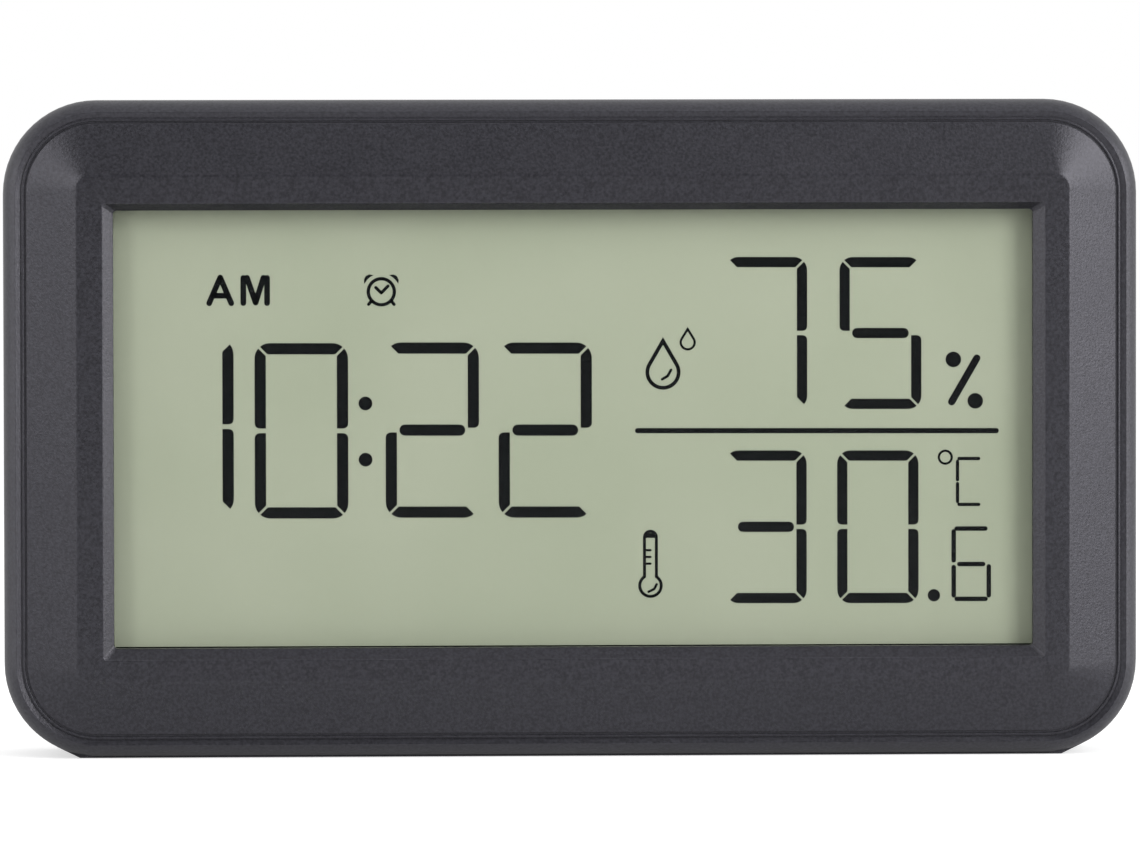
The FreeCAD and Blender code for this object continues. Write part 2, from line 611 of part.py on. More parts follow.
def wall_cuts():
    """Button holes, vent slots, sound slots and keyhole in the back wall."""
    through = (BACK_INSIDE - OVERRUN, CASE_DEPTH + OVERRUN)
    half_width = BUTTON_HALF_WIDTH + BUTTON_PLAY
    half_height = BUTTON_HALF_HEIGHT + BUTTON_PLAY
    cuts = []
    for z in button_heights():
        x_range = (BUTTON_X - half_width, BUTTON_X + half_width)
        cuts.append(rounded_slab(x_range, (z - half_height, z + half_height), half_height, through))
    vents = (VENT_HALF_WIDTH, VENT_HALF_HEIGHT, VENT_PITCH, VENT_COUNT)
    cuts.extend(slot_row(SENSOR_X, CENTRE_Z + SENSOR_RISE, *vents))
    sound = (SOUND_HALF_WIDTH, SOUND_HALF_HEIGHT, SOUND_PITCH, SOUND_COUNT)
    cuts.extend(slot_row(BUZZER_X, CENTRE_Z + BUZZER_RISE, *sound))
    keyhole_z = CENTRE_Z + KEYHOLE_RISE
    cuts.append(rod(0, keyhole_z, KEYHOLE_RADIUS, through))
    slot_x = (-KEYHOLE_SLOT_RADIUS, KEYHOLE_SLOT_RADIUS)
    slot_z = (keyhole_z, keyhole_z + KEYHOLE_SLOT_LENGTH + KEYHOLE_SLOT_RADIUS)
    cuts.append(rounded_slab(slot_x, slot_z, KEYHOLE_SLOT_RADIUS, through))
    return cuts


def rear_case():
    """Moulded rear shell with battery bay, stand recess and screw columns."""
    shell = case_body().cut(case_hollow())
    inner = [bay_block(), pan_block()]
    for x, z in screw_places():
        inner.append(rod(x, z, COLUMN_RADIUS, (BOSS_END, BACK_INSIDE)))
    shell = fuse_all([shell] + inner)
    cuts = bay_cuts() + stand_cuts() + wall_cuts()
    for x, z in screw_places():
        bore = CASE_SCREW_RADIUS + COLUMN_BORE_PLAY
        recess = CASE_SCREW_HEAD_RADIUS + CASE_SCREW_HEAD_PLAY
        cuts.append(small_rod(x, z, bore, (BOSS_END - OVERRUN, CASE_SCREW_SEAT + OVERRUN)))
        cuts.append(rod(x, z, recess, (CASE_SCREW_SEAT, CASE_DEPTH + OVERRUN)))
    return shell.cut(cuts).removeSplitter()


def window_cut():
    """Window opening: a bevel that narrows backwards, then a short straight land."""
    inner_x = (-WINDOW_HALF_WIDTH, WINDOW_HALF_WIDTH)
    inner_z = (CENTRE_Z + WINDOW_BOTTOM, CENTRE_Z + WINDOW_TOP)
    outer_x = (-WINDOW_HALF_WIDTH - BEVEL_WIDTH, WINDOW_HALF_WIDTH + BEVEL_WIDTH)
    outer_z = (inner_z[0] - BEVEL_HEIGHT_BOTTOM, inner_z[1] + BEVEL_HEIGHT_TOP)
    outer = rounded_outline(outer_x, outer_z, WINDOW_CORNER, 0)
    inner = rounded_outline(inner_x, inner_z, WINDOW_CORNER, BEVEL_DEPTH)
    land = rounded_slab(inner_x, inner_z, WINDOW_CORNER, (BEVEL_DEPTH, PLATE_BACK + OVERRUN))
    return [bridge(outer, inner), land]


def front_bezel():
    """Front frame: sloped band, flat face, bevelled window, seam bead, skirt, posts and bosses."""
    crease_x = (-CREASE_HALF_WIDTH, CREASE_HALF_WIDTH)
    crease_z = (CENTRE_Z - CREASE_HALF_HEIGHT, CENTRE_Z + CREASE_HALF_HEIGHT)
    crease = rounded_outline(crease_x, crease_z, CREASE_CORNER, 0)
    band = bridge(crease, case_outline(BAND_INSET, BAND_DROP))
    core = case_slab(BAND_INSET, (BAND_DROP, SKIRT_END))
    skirt = case_slab(SKIRT_INSET, (BEAD_FRONT, SKIRT_END))
    skirt = skirt.makeChamfer(BEAD_CHAMFER, edges_at_depth(skirt, BEAD_FRONT))
    groove_depths = (BEAD_FRONT - OVERRUN, BEAD_FRONT + GROOVE_DEPTH)
    skirt = skirt.cut(case_slab(SKIRT_INSET + BEAD_WIDTH, groove_depths))
    body = fuse_all([band, core, skirt])
    hollow = case_slab(SKIRT_INSET + SKIRT_WALL, (HOLLOW_FRONT, SKIRT_END + OVERRUN))
    pocket_x = (-TRAY_HALF_WIDTH - TRAY_PLAY, TRAY_HALF_WIDTH + TRAY_PLAY)
    pocket_z = (CENTRE_Z + TRAY_BOTTOM - TRAY_PLAY, CENTRE_Z + TRAY_TOP + TRAY_PLAY)
    pocket = rounded_slab(pocket_x, pocket_z, TRAY_CORNER, (PLATE_BACK, SKIRT_END))
    body = body.cut([hollow, pocket] + window_cut())
    posts = []
    for x, z in screw_places():
        posts.append(rod(x, z, BOSS_RADIUS, (HOLLOW_FRONT, BOSS_END)))
    for x, z, way in lug_places():
        posts.append(rod(x, z, TRAY_LUG_RADIUS, (HOLLOW_FRONT, LUG_FRONT)))
    body = fuse_all([body] + posts)
    pilots = []
    for x, z in screw_places():
        pilot_depth = CASE_SCREW_SEAT - CASE_SCREW_LENGTH
        pilots.append(small_rod(x, z, CASE_SCREW_RADIUS, (pilot_depth, BOSS_END + OVERRUN)))
    for x, z, way in lug_places():
        pilot_depths = (LUG_FRONT - FRAME_SCREW_BITE, LUG_FRONT + OVERRUN)
        pilots.append(small_rod(x, z, SMALL_SCREW_RADIUS, pilot_depths))
    return body.cut(pilots)


def glass_ranges(margin):
    """Width and height of the display glass, drawn in by a margin."""
    x_range = (margin - GLASS_HALF_WIDTH, GLASS_HALF_WIDTH - margin)
    z_range = (CENTRE_Z + GLASS_BOTTOM + margin, CENTRE_Z + GLASS_TOP - margin)
    return x_range, z_range


def display_window():
    """Clear flat window that closes the opening of the front frame from behind."""
    x_range, z_range = glass_ranges(0)
    return rounded_slab(x_range, z_range, WINDOW_CORNER, (PLATE_BACK, LENS_BACK))


def lcd_front_polariser():
    """Polarising film on the front glass."""
    x_range, z_range = glass_ranges(POLARISER_MARGIN)
    return block(x_range, (LENS_BACK, FRONT_GLASS_DEPTH), z_range)


def lcd_front_glass():
    """Front glass of the cell, whose lower ledge carries the contacts."""
    x_range, z_range = glass_ranges(0)
    return block(x_range, (FRONT_GLASS_DEPTH, REAR_GLASS_DEPTH), z_range)


def lcd_rear_glass():
    """Rear glass of the cell, shorter at the bottom than the front glass."""
    x_range, z_range = glass_ranges(0)
    z_range = (z_range[0] + GLASS_LEDGE, z_range[1])
    return block(x_range, (REAR_GLASS_DEPTH, REAR_POLARISER_DEPTH), z_range)


def lcd_rear_polariser():
    """Rear polariser with its reflector."""
    x_range, z_range = glass_ranges(POLARISER_MARGIN)
    z_range = (z_range[0] + GLASS_LEDGE, z_range[1])
    return block(x_range, (REAR_POLARISER_DEPTH, TRAY_SEAT), z_range)


def strip_ranges(play):
    """Width and height of the connector strip, with some play round it."""
    bottom = CENTRE_Z + GLASS_BOTTOM + STRIP_MARGIN
    x_range = (-STRIP_HALF_LENGTH - play, STRIP_HALF_LENGTH + play)
    return x_range, (bottom - play, bottom + STRIP_THICKNESS + play)


def connector_strip():
    """Elastomer strip that joins the glass ledge to the board."""
    x_range, z_range = strip_ranges(0)
    return block(x_range, (REAR_GLASS_DEPTH, BOARD_FRONT), z_range)


def lcd_frame():
    """Tray that holds the display stack against the front frame."""
    x_range = (-TRAY_HALF_WIDTH, TRAY_HALF_WIDTH)
    z_range = (CENTRE_Z + TRAY_BOTTOM, CENTRE_Z + TRAY_TOP)
    parts = [rounded_slab(x_range, z_range, TRAY_CORNER, (PLATE_BACK, TRAY_BACK))]
    for x, z, way in lug_places():
        depths = (LUG_FRONT, LUG_BACK)
        parts.append(rod(x, z, TRAY_LUG_RADIUS, depths))
        z_pair = sorted((z, z + way * (TRAY_LUG_REACH + TRAY_WALL_HEIGHT / 2)))
        parts.append(block((x - TRAY_LUG_RADIUS, x + TRAY_LUG_RADIUS), depths, z_pair))
    tray = fuse_all(parts)
    pocket_x, pocket_z = glass_ranges(-GLASS_PLAY)
    cuts = [block(pocket_x, (PLATE_BACK - OVERRUN, TRAY_SEAT), pocket_z)]
    slot_x, slot_z = strip_ranges(STRIP_PLAY)
    cuts.append(block(slot_x, (TRAY_SEAT - OVERRUN, TRAY_BACK + OVERRUN), slot_z))
    for x, z, way in lug_places():
        hole = SMALL_SCREW_RADIUS + SMALL_SCREW_PLAY
        cuts.append(small_rod(x, z, hole, (LUG_FRONT - OVERRUN, LUG_BACK + OVERRUN)))
    for x, z in board_screw_places():
        pilot_depths = (TRAY_BACK - SMALL_SCREW_BITE, TRAY_BACK + OVERRUN)
        cuts.append(small_rod(x, z, SMALL_SCREW_RADIUS, pilot_depths))
    return tray.cut(cuts)


def main_board():
    """Circuit board behind the display tray."""
    x_range = (-BOARD_HALF_WIDTH, BOARD_HALF_WIDTH)
    z_range = (CENTRE_Z + BOARD_BOTTOM_RISE, CENTRE_Z + BOARD_TOP_RISE)
    board = rounded_slab(x_range, z_range, BOARD_CORNER, (BOARD_FRONT, BOARD_BACK))
    hole = SMALL_SCREW_RADIUS + SMALL_SCREW_PLAY
    through = (BOARD_FRONT - OVERRUN, BOARD_BACK + OVERRUN)
    return board.cut([small_rod(x, z, hole, through) for x, z in board_screw_places()])


def chip_cover():
    """Low resin dome over the clock chip."""
    height = CHIP_COVER_HEIGHT
    sphere_radius = (CHIP_COVER_RADIUS ** 2 + height ** 2) / (2 * height)
    middle = place(CHIP_COVER_X, BOARD_BACK + height - sphere_radius, CENTRE_Z + CHIP_COVER_RISE)
    ball = Part.makeSphere(sphere_radius, middle)
    x_range = (CHIP_COVER_X - CHIP_COVER_RADIUS, CHIP_COVER_X + CHIP_COVER_RADIUS)
    z = CENTRE_Z + CHIP_COVER_RISE
    z_range = (z - CHIP_COVER_RADIUS, z + CHIP_COVER_RADIUS)
    return ball.common(block(x_range, (BOARD_BACK, BOARD_BACK + height + OVERRUN), z_range))


def timing_crystal():
    """Small metal can that lies on the board, with its two leads."""
    z = CENTRE_Z + CRYSTAL_RISE
    depth = BOARD_BACK + CRYSTAL_RADIUS
    can = cross_pin((CRYSTAL_X, CRYSTAL_X + CRYSTAL_LENGTH), depth, z, CRYSTAL_RADIUS)
    parts = [can]
    lead_x = (CRYSTAL_X - CRYSTAL_RADIUS, CRYSTAL_X + CRYSTAL_RADIUS)
    lead_depths = (BOARD_BACK, BOARD_BACK + CRYSTAL_LEAD_THICKNESS)
    for side in (-1, 1):
        lead_z = z + side * CRYSTAL_RADIUS / 2
        lead_height = (lead_z - CRYSTAL_LEAD_THICKNESS / 2, lead_z + CRYSTAL_LEAD_THICKNESS / 2)
        parts.append(block(lead_x, lead_depths, lead_height))
    return fuse_all(parts)


def board_components():
    """Upright capacitor and two rows of small chip parts."""
    depths = (BOARD_BACK, BOARD_BACK + CAPACITOR_HEIGHT)
    parts = [rod(CAPACITOR_X, CENTRE_Z + CAPACITOR_RISE, CAPACITOR_RADIUS, depths)]
    depths = (BOARD_BACK, BOARD_BACK + CHIP_PART_HEIGHT)
    for rise in CHIP_PART_ROW_RISES:
        z = CENTRE_Z + rise
        for column in range(CHIP_PART_COUNT):
            x = CHIP_PART_START_X + CHIP_PART_PITCH * column
            parts.append(block((x, x + CHIP_PART_LENGTH), depths, (z, z + CHIP_PART_WIDTH)))
    return Part.makeCompound(parts)


def humidity_sensor():
    """Slotted housing of the humidity sensor, behind the vent slots."""
    z = CENTRE_Z + SENSOR_RISE
    x_range = (SENSOR_X - SENSOR_WIDTH / 2, SENSOR_X + SENSOR_WIDTH / 2)
    z_range = (z - SENSOR_HEIGHT / 2, z + SENSOR_HEIGHT / 2)
    top = BOARD_BACK + SENSOR_THICKNESS
    housing = block(x_range, (BOARD_BACK, top), z_range)
    slot_x = (x_range[0] + SENSOR_SLOT_EDGE, x_range[1] - SENSOR_SLOT_EDGE)
    lowest = z - SENSOR_SLOT_PITCH * (SENSOR_SLOT_COUNT - 1) / 2 - SENSOR_SLOT_HEIGHT / 2
    slots = []
    for row in range(SENSOR_SLOT_COUNT):
        low = lowest + SENSOR_SLOT_PITCH * row
        slot_z = (low, low + SENSOR_SLOT_HEIGHT)
        slots.append(block(slot_x, (top - SENSOR_SLOT_DEPTH, top + OVERRUN), slot_z))
    return housing.cut(slots)


def thermistor():
    """Glass bead on two wire legs that keep it off the board."""
    z = CENTRE_Z + THERMISTOR_RISE
    bead_depth = BOARD_BACK + THERMISTOR_STANDOFF
    bead_z = (z - THERMISTOR_BEAD, z + THERMISTOR_BEAD)
    bead = upright(THERMISTOR_X, bead_depth, THERMISTOR_BEAD, bead_z)
    parts = [bead.makeChamfer(THERMISTOR_BEAD / 2, bead.Edges[0:1] + bead.Edges[2:3])]
    for side in (-1, 1):
        x = THERMISTOR_X + side * THERMISTOR_LEG_SPREAD
        parts.append(small_rod(x, z, THERMISTOR_LEG_RADIUS, (BOARD_BACK, bead_depth)))
    return fuse_all(parts)


def buzzer():
    """Round buzzer on the board, with its mouth towards the sound slots."""
    z = CENTRE_Z + BUZZER_RISE
    top = BOARD_BACK + BUZZER_HEIGHT
    can = rod(BUZZER_X, z, BUZZER_RADIUS, (BOARD_BACK, top))
    can = can.makeChamfer(BUZZER_EDGE_CHAMFER, edges_at_depth(can, top))
    mouth_depths = (top - BUZZER_MOUTH_DEPTH, top + OVERRUN)
    return can.cut(small_rod(BUZZER_X, z, BUZZER_MOUTH_RADIUS, mouth_depths))


def tact_switches():
    """Bodies of the four switches, each with the well that its plunger sinks into."""
    top = BOARD_BACK + SWITCH_HEIGHT
    bodies = []
    for z in button_heights():
        x_range = (BUTTON_X - SWITCH_HALF_WIDTH, BUTTON_X + SWITCH_HALF_WIDTH)
        body = block(x_range, (BOARD_BACK, top), (z - SWITCH_HALF_WIDTH, z + SWITCH_HALF_WIDTH))
        well = small_rod(BUTTON_X, z, SWITCH_WELL_RADIUS, (top - SWITCH_WELL_DEPTH, top + OVERRUN))
        bodies.append(body.cut(well))
    return Part.makeCompound(bodies)


def plunger_top():
    """Depth at which a plunger meets its button."""
    return BOARD_BACK + SWITCH_HEIGHT + PLUNGER_PROUD


def switch_plunger(z):
    """Plunger of one switch."""
    front = BOARD_BACK + SWITCH_HEIGHT - PLUNGER_SUNK
    return small_rod(BUTTON_X, z, PLUNGER_RADIUS, (front, plunger_top()))


def push_button(z):
    """One push button: rounded cap, lip behind the wall and stem down to the plunger."""
    lip_back = BACK_INSIDE - BUTTON_PLAY
    lip_front = lip_back - BUTTON_LIP_THICKNESS
    x_range = (BUTTON_X - BUTTON_HALF_WIDTH, BUTTON_X + BUTTON_HALF_WIDTH)
    z_range = (z - BUTTON_HALF_HEIGHT, z + BUTTON_HALF_HEIGHT)
    face_depth = CASE_DEPTH + BUTTON_PROUD
    cap = rounded_slab(x_range, z_range, BUTTON_HALF_HEIGHT, (lip_front, face_depth))
    cap = cap.makeChamfer(BUTTON_EDGE_CHAMFER, edges_at_depth(cap, face_depth))
    lip_x = (x_range[0] - BUTTON_LIP, x_range[1] + BUTTON_LIP)
    lip_z = (z_range[0] - BUTTON_LIP, z_range[1] + BUTTON_LIP)
    lip = rounded_slab(lip_x, lip_z, BUTTON_HALF_HEIGHT + BUTTON_LIP, (lip_front, lip_back))
    half_stem = BUTTON_STEM_HALF_WIDTH
    stem_x = (BUTTON_X - half_stem, BUTTON_X + half_stem)
    stem = block(stem_x, (plunger_top(), lip_front), (z - half_stem, z + half_stem))
    return fuse_all([cap, lip, stem])


def battery_cell(x, plus_up):
    """One cell: can with rounded ends and the nub at its plus end."""
    low = CENTRE_Z - BAY_HALF_HEIGHT + CONTACT_THICKNESS
    high = CENTRE_Z + BAY_HALF_HEIGHT - CONTACT_THICKNESS
    if plus_up > 0:
        can_z = (high - CELL_LENGTH, high - CELL_NUB_LENGTH)
        nub_z = (can_z[1], high)
    else:
        can_z = (low + CELL_NUB_LENGTH, low + CELL_LENGTH)
        nub_z = (low, can_z[0])
    can = upright(x, CELL_DEPTH, CELL_RADIUS, can_z)
    can = can.makeChamfer(CELL_EDGE_CHAMFER, can.Edges[0:1] + can.Edges[2:3])
    return fuse_all([can, upright(x, CELL_DEPTH, CELL_NUB_RADIUS, nub_z)])


def contact_front():
    """Depth of the foremost edge of the contact plates."""
    return BAY_FLOOR_BACK + CONTACT_EDGE_GAP


def battery_contacts():
    """Two plates with solder tabs at the bottom, and the plate at the top that joins the cells."""
    low = CENTRE_Z - BAY_HALF_HEIGHT
    high = CENTRE_Z + BAY_HALF_HEIGHT
    depths = (contact_front(), DOOR_SEAT - CONTACT_EDGE_GAP)
    plates = []
    for x, plus_up in cell_places():
        plate_x = (x - CONTACT_HALF_WIDTH, x + CONTACT_HALF_WIDTH)
        plate = block(plate_x, depths, (low, low + CONTACT_THICKNESS))
        tab_x = (x - CONTACT_TAB_HALF_WIDTH, x + CONTACT_TAB_HALF_WIDTH)
        tab_depths = (contact_front(), contact_front() + CONTACT_THICKNESS)
        tab = block(tab_x, tab_depths, (tab_end(), low + CONTACT_THICKNESS))
        plates.append(fuse_all([plate, tab]))
    left = BAY_X - CELL_PITCH / 2 - CONTACT_HALF_WIDTH
    right = BAY_X + CELL_PITCH / 2 + CONTACT_HALF_WIDTH
    plates.append(block((left, right), depths, (high - CONTACT_THICKNESS, high)))
    return Part.makeCompound(plates)


def tab_end():
    """Height at which the solder tabs end, below the bay."""
    return CENTRE_Z - BAY_HALF_HEIGHT - BAY_WALL - CONTACT_TAB_REACH


def biarc(start, start_way, end, end_way):
    """Two arcs that leave one point along a direction and reach another along a second one."""
    span = end - start
    both = start_way + end_way
    square = both.dot(both) - 4
    linear = -2 * span.dot(both)
    steady = span.dot(span)
    root = math.sqrt(linear ** 2 - 4 * square * steady)
    reach = (-linear - root) / (2 * square)
    first_corner = start + start_way * reach
    second_corner = end - end_way * reach
    joint = (first_corner + second_corner) * 0.5
    return [corner_arc(start, first_corner, joint), corner_arc(joint, second_corner, end)]


def corner_arc(start, corner, end):
    """Arc that touches two equal legs which meet at a corner."""
    chord_middle = (start + end) * 0.5
    leg = (corner - start).Length
    half_chord = (end - start).Length / 2
    towards = corner - chord_middle
    sagitta = half_chord * (leg - half_chord) / towards.Length
    middle = chord_middle + towards * (sagitta / towards.Length)
    return Part.Arc(start, middle, end).toShape()


def tube(edges, radius, start, way):
    """Wire along a chain of tangent edges that leaves its start along a direction."""
    shell = Part.BRepOffsetAPI.MakePipeShell(Part.Wire(edges))
    shell.add(flat_sided(start, way, radius, WIRE_SIDES))
    shell.build()
    shell.makeSolid()
    return shell.shape()


def spring_points(x, plus_up, steps):
    """Points and directions along the centre line of one conical contact spring."""
    half_room = BAY_HALF_HEIGHT - CONTACT_THICKNESS
    base_z = CENTRE_Z - plus_up * half_room
    wire_radius = SPRING_WIRE / 2
    climb = SPRING_LENGTH - SPRING_WIRE
    total_angle = math.pi * SPRING_HALF_TURNS
    points = []
    ways = []
    for step in range(steps + 1):
        share = step / steps
        angle = total_angle * share
        radius = SPRING_BASE_RADIUS + (SPRING_TOP_RADIUS - SPRING_BASE_RADIUS) * share
        height = base_z + plus_up * (wire_radius + climb * share)
        points.append(place(x + radius * math.cos(angle), CELL_DEPTH + radius * math.sin(angle), height))
        narrowing = (SPRING_TOP_RADIUS - SPRING_BASE_RADIUS) / total_angle
        way_x = narrowing * math.cos(angle) - radius * math.sin(angle)
        way_y = narrowing * math.sin(angle) + radius * math.cos(angle)
        way = FreeCAD.Vector(way_x, way_y, plus_up * climb / total_angle)
        ways.append(way.normalize())
    return points, ways


def contact_spring(x, plus_up):
    """One conical spring between a contact plate and the minus end of a cell."""
    points, ways = spring_points(x, plus_up, SPRING_HALF_TURNS)
    edges = []
    for step in range(len(points) - 1):
        edges.extend(biarc(points[step], ways[step], points[step + 1], ways[step + 1]))
    return tube(edges, SPRING_WIRE / 2, points[0], ways[0])


def battery_springs():
    """Both contact springs, and a printed measure of the gap between their turns."""
    samples_per_turn = 48
    points, ways = spring_points(0, 1, samples_per_turn * SPRING_HALF_TURNS // 2)
    apart = samples_per_turn // 2
    gaps = [(one - other).Length for index, one in enumerate(points) for other in points[index + apart:]]
    print("spring: least gap between turns", round(min(gaps) - SPRING_WIRE, 3))
    return Part.makeCompound([contact_spring(x, plus_up) for x, plus_up in cell_places()])


def lead_tube(points):
    """Round wire along straight runs joined by tangent arcs as large as the runs allow."""
    edges = []
    here = points[0]
    radii = []
    for before, corner, after in zip(points, points[1:], points[2:]):
        run = min((corner - before).Length, (after - corner).Length)
        trim = run * LEAD_TRIM_SHARE
        arrive = corner + (before - corner).normalize() * trim
        leave = corner + (after - corner).normalize() * trim
        turn = (corner - before).getAngle(after - corner)
        radii.append(round(trim / math.tan(turn / 2), 2))
        edges.append(Part.LineSegment(here, arrive).toShape())
        edges.append(corner_arc(arrive, corner, leave))
        here = leave
    edges.append(Part.LineSegment(here, points[-1]).toShape())
    length = sum(edge.Length for edge in edges)
    wire = tube(edges, LEAD_RADIUS, points[0], points[1] - points[0])
    section = WIRE_SIDES * LEAD_RADIUS ** 2 * math.sin(2 * math.pi / WIRE_SIDES) / 2
    print("lead: radii", radii, "length", round(length, 1))
    print("lead: volume over section", round(wire.Volume / section, 1))
    return wire


def battery_lead(x, pad_x, low):
    """Lead from one solder tab, under the bay, to its pad on the board."""
    tab_depth = contact_front() + CONTACT_THICKNESS / 2
    arch_depth = BOARD_BACK + LEAD_ARCH
    pad_z = CENTRE_Z + LEAD_PAD_RISE
    points = [
        place(x, tab_depth, tab_end()),
        place(x, tab_depth, low),
        place(pad_x, arch_depth, low),
        place(pad_x, arch_depth, pad_z),
        place(pad_x, BOARD_BACK, pad_z),
    ]
    return lead_tube(points)


def battery_door():
    """Cover of the battery bay, with two tabs under the wall at its top and a tongue at its bottom."""
    x_range = (BAY_X - DOOR_HALF_WIDTH, BAY_X + DOOR_HALF_WIDTH)
    z_range = (CENTRE_Z - DOOR_HALF_HEIGHT, CENTRE_Z + DOOR_HALF_HEIGHT)
    parts = [rounded_slab(x_range, z_range, DOOR_CORNER, (DOOR_SEAT, CASE_DEPTH))]
    tab_depths = (DOOR_SEAT, DOOR_SEAT + DOOR_TAB_THICKNESS)
    for side in (-1, 1):
        middle = BAY_X + side * DOOR_TAB_OFFSET
        tab_x = (middle - DOOR_TAB_HALF_WIDTH, middle + DOOR_TAB_HALF_WIDTH)
        parts.append(block(tab_x, tab_depths, (z_range[1] - DOOR_LAP, z_range[1] + DOOR_TAB_REACH)))
    tongue_x = (BAY_X - DOOR_TONGUE_HALF_WIDTH, BAY_X + DOOR_TONGUE_HALF_WIDTH)
    tongue_depths = (CASE_DEPTH - DOOR_TONGUE_THICKNESS, CASE_DEPTH)
    parts.append(block(tongue_x, tongue_depths, (z_range[0] - DOOR_TONGUE_REACH, z_range[0] + DOOR_LAP)))
    return fuse_all(parts)


def stand_leg():
    """Fold-out leg: ribbed plate with a rounded knuckle and two pivot pins at its top."""
    x_range = (-LEG_HALF_WIDTH, LEG_HALF_WIDTH)
    plate = rounded_slab(x_range, (LEG_BOTTOM_Z, LEG_PIVOT_Z), LEG_CORNER, (LEG_FRONT, LEG_BACK))
    shoulder = block(x_range, (LEG_FRONT, LEG_BACK), (LEG_PIVOT_Z - LEG_CORNER, LEG_PIVOT_Z))
    knuckle = cross_pin(x_range, LEG_PIVOT_DEPTH, LEG_PIVOT_Z, LEG_THICKNESS / 2)
    pin_reach = LEG_HALF_WIDTH + LEG_PIN_LENGTH
    pins = cross_pin((-pin_reach, pin_reach), LEG_PIVOT_DEPTH, LEG_PIVOT_Z, LEG_PIN_RADIUS)
    leg = fuse_all([plate, shoulder, knuckle, pins])
    hollow_depths = (LEG_FRONT - OVERRUN, LEG_BACK - LEG_SKIN)
    hollow_z = (LEG_BOTTOM_Z + LEG_RIB, LEG_PIVOT_Z - LEG_THICKNESS)
    width = 2 * LEG_HALF_WIDTH - (LEG_RIB_COUNT + 2) * LEG_RIB
    bay_width = width / (LEG_RIB_COUNT + 1)
    corner = min(LEG_CORNER - LEG_RIB, bay_width / 2)
    cuts = []
    for bay in range(LEG_RIB_COUNT + 1):
        left = LEG_RIB - LEG_HALF_WIDTH + bay * (bay_width + LEG_RIB)
        cuts.append(rounded_slab((left, left + bay_width), hollow_z, corner, hollow_depths))
    return leg.cut(cuts)


def pan_screw(x, z, seat, radius, length, head_radius, head_height):
    """Screw whose head sits on a seat, with its shank towards the front."""
    shank = small_rod(x, z, radius, (seat - length, seat))
    head = rod(x, z, head_radius, (seat, seat + head_height))
    return fuse_all([shank, head])


def case_screws():
    """Four screws that pull the rear case onto the front frame."""
    screws = []
    for x, z in screw_places():
        shape = (CASE_SCREW_RADIUS, CASE_SCREW_LENGTH, CASE_SCREW_HEAD_RADIUS, CASE_SCREW_HEAD_HEIGHT)
        screws.append(pan_screw(x, z, CASE_SCREW_SEAT, *shape))
    return Part.makeCompound(screws)


def frame_screws():
    """Four small screws that hold the display tray on the posts of the front frame."""
    length = TRAY_LUG_THICKNESS + FRAME_SCREW_BITE
    shape = (SMALL_SCREW_RADIUS, length, SMALL_SCREW_HEAD_RADIUS, SMALL_SCREW_HEAD_HEIGHT)
    return Part.makeCompound([pan_screw(x, z, LUG_BACK, *shape) for x, z, way in lug_places()])


def board_screws():
    """Four small screws that hold the board on the display tray."""
    length = BOARD_THICKNESS + SMALL_SCREW_BITE
    shape = (SMALL_SCREW_RADIUS, length, SMALL_SCREW_HEAD_RADIUS, SMALL_SCREW_HEAD_HEIGHT)
    return Part.makeCompound([pan_screw(x, z, BOARD_BACK, *shape) for x, z in board_screw_places()])


def all_parts():
    """Every sub-part by its name."""
    left, right = cell_places()
    parts = {
        "rear_case": rear_case(),
        "front_bezel": front_bezel(),
        "display_window": display_window(),
        "lcd_front_polariser": lcd_front_polariser(),
        "lcd_front_glass": lcd_front_glass(),
        "lcd_rear_glass": lcd_rear_glass(),
        "lcd_rear_polariser": lcd_rear_polariser(),
        "lcd_frame": lcd_frame(),
        "connector_strip": connector_strip(),
        "main_board": main_board(),
        "chip_cover": chip_cover(),
        "timing_crystal": timing_crystal(),
        "board_components": board_components(),
        "humidity_sensor": humidity_sensor(),
        "thermistor": thermistor(),
        "buzzer": buzzer(),
        "tact_switches": tact_switches(),
        "battery_cell_left": battery_cell(*left),
        "battery_cell_right": battery_cell(*right),
        "battery_contacts": battery_contacts(),
        "battery_springs": battery_springs(),
        "battery_lead_negative": battery_lead(left[0], LEAD_NEGATIVE_X, LEAD_NEGATIVE_Z),
        "battery_lead_positive": battery_lead(right[0], LEAD_POSITIVE_X, LEAD_POSITIVE_Z),
        "battery_door": battery_door(),
        "stand_leg": stand_leg(),
        "case_screws": case_screws(),
        "frame_screws": frame_screws(),
        "board_screws": board_screws(),
    }
    for name, z in zip(BUTTON_NAMES, button_heights()):
        parts["button_" + name] = push_button(z)
        parts["switch_plunger_" + name] = switch_plunger(z)
    return parts


def main():
    """Write one file for each sub-part."""
    os.makedirs("parts", exist_ok=True)
    for name, shape in all_parts().items():
        shape.exportStep("parts/" + name + ".step")
        print(name, "solids", len(shape.Solids), "volume", round(shape.Volume, 1), "valid", shape.isValid())


main()
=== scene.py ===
# %% [markdown]
# # A thermometer hygrometer clock
# This lesson dresses a small battery clock that shows the time, the humidity and the temperature.
# The engineering model arrives as a fixed frame, in metres, so every visible piece goes where that
# frame says. Blender adds what makes the clock look real: soft edges, moulded grain, dark display
# marks behind clear layers, bright metal and plain studio light.

# %% Load the engineering model
import math

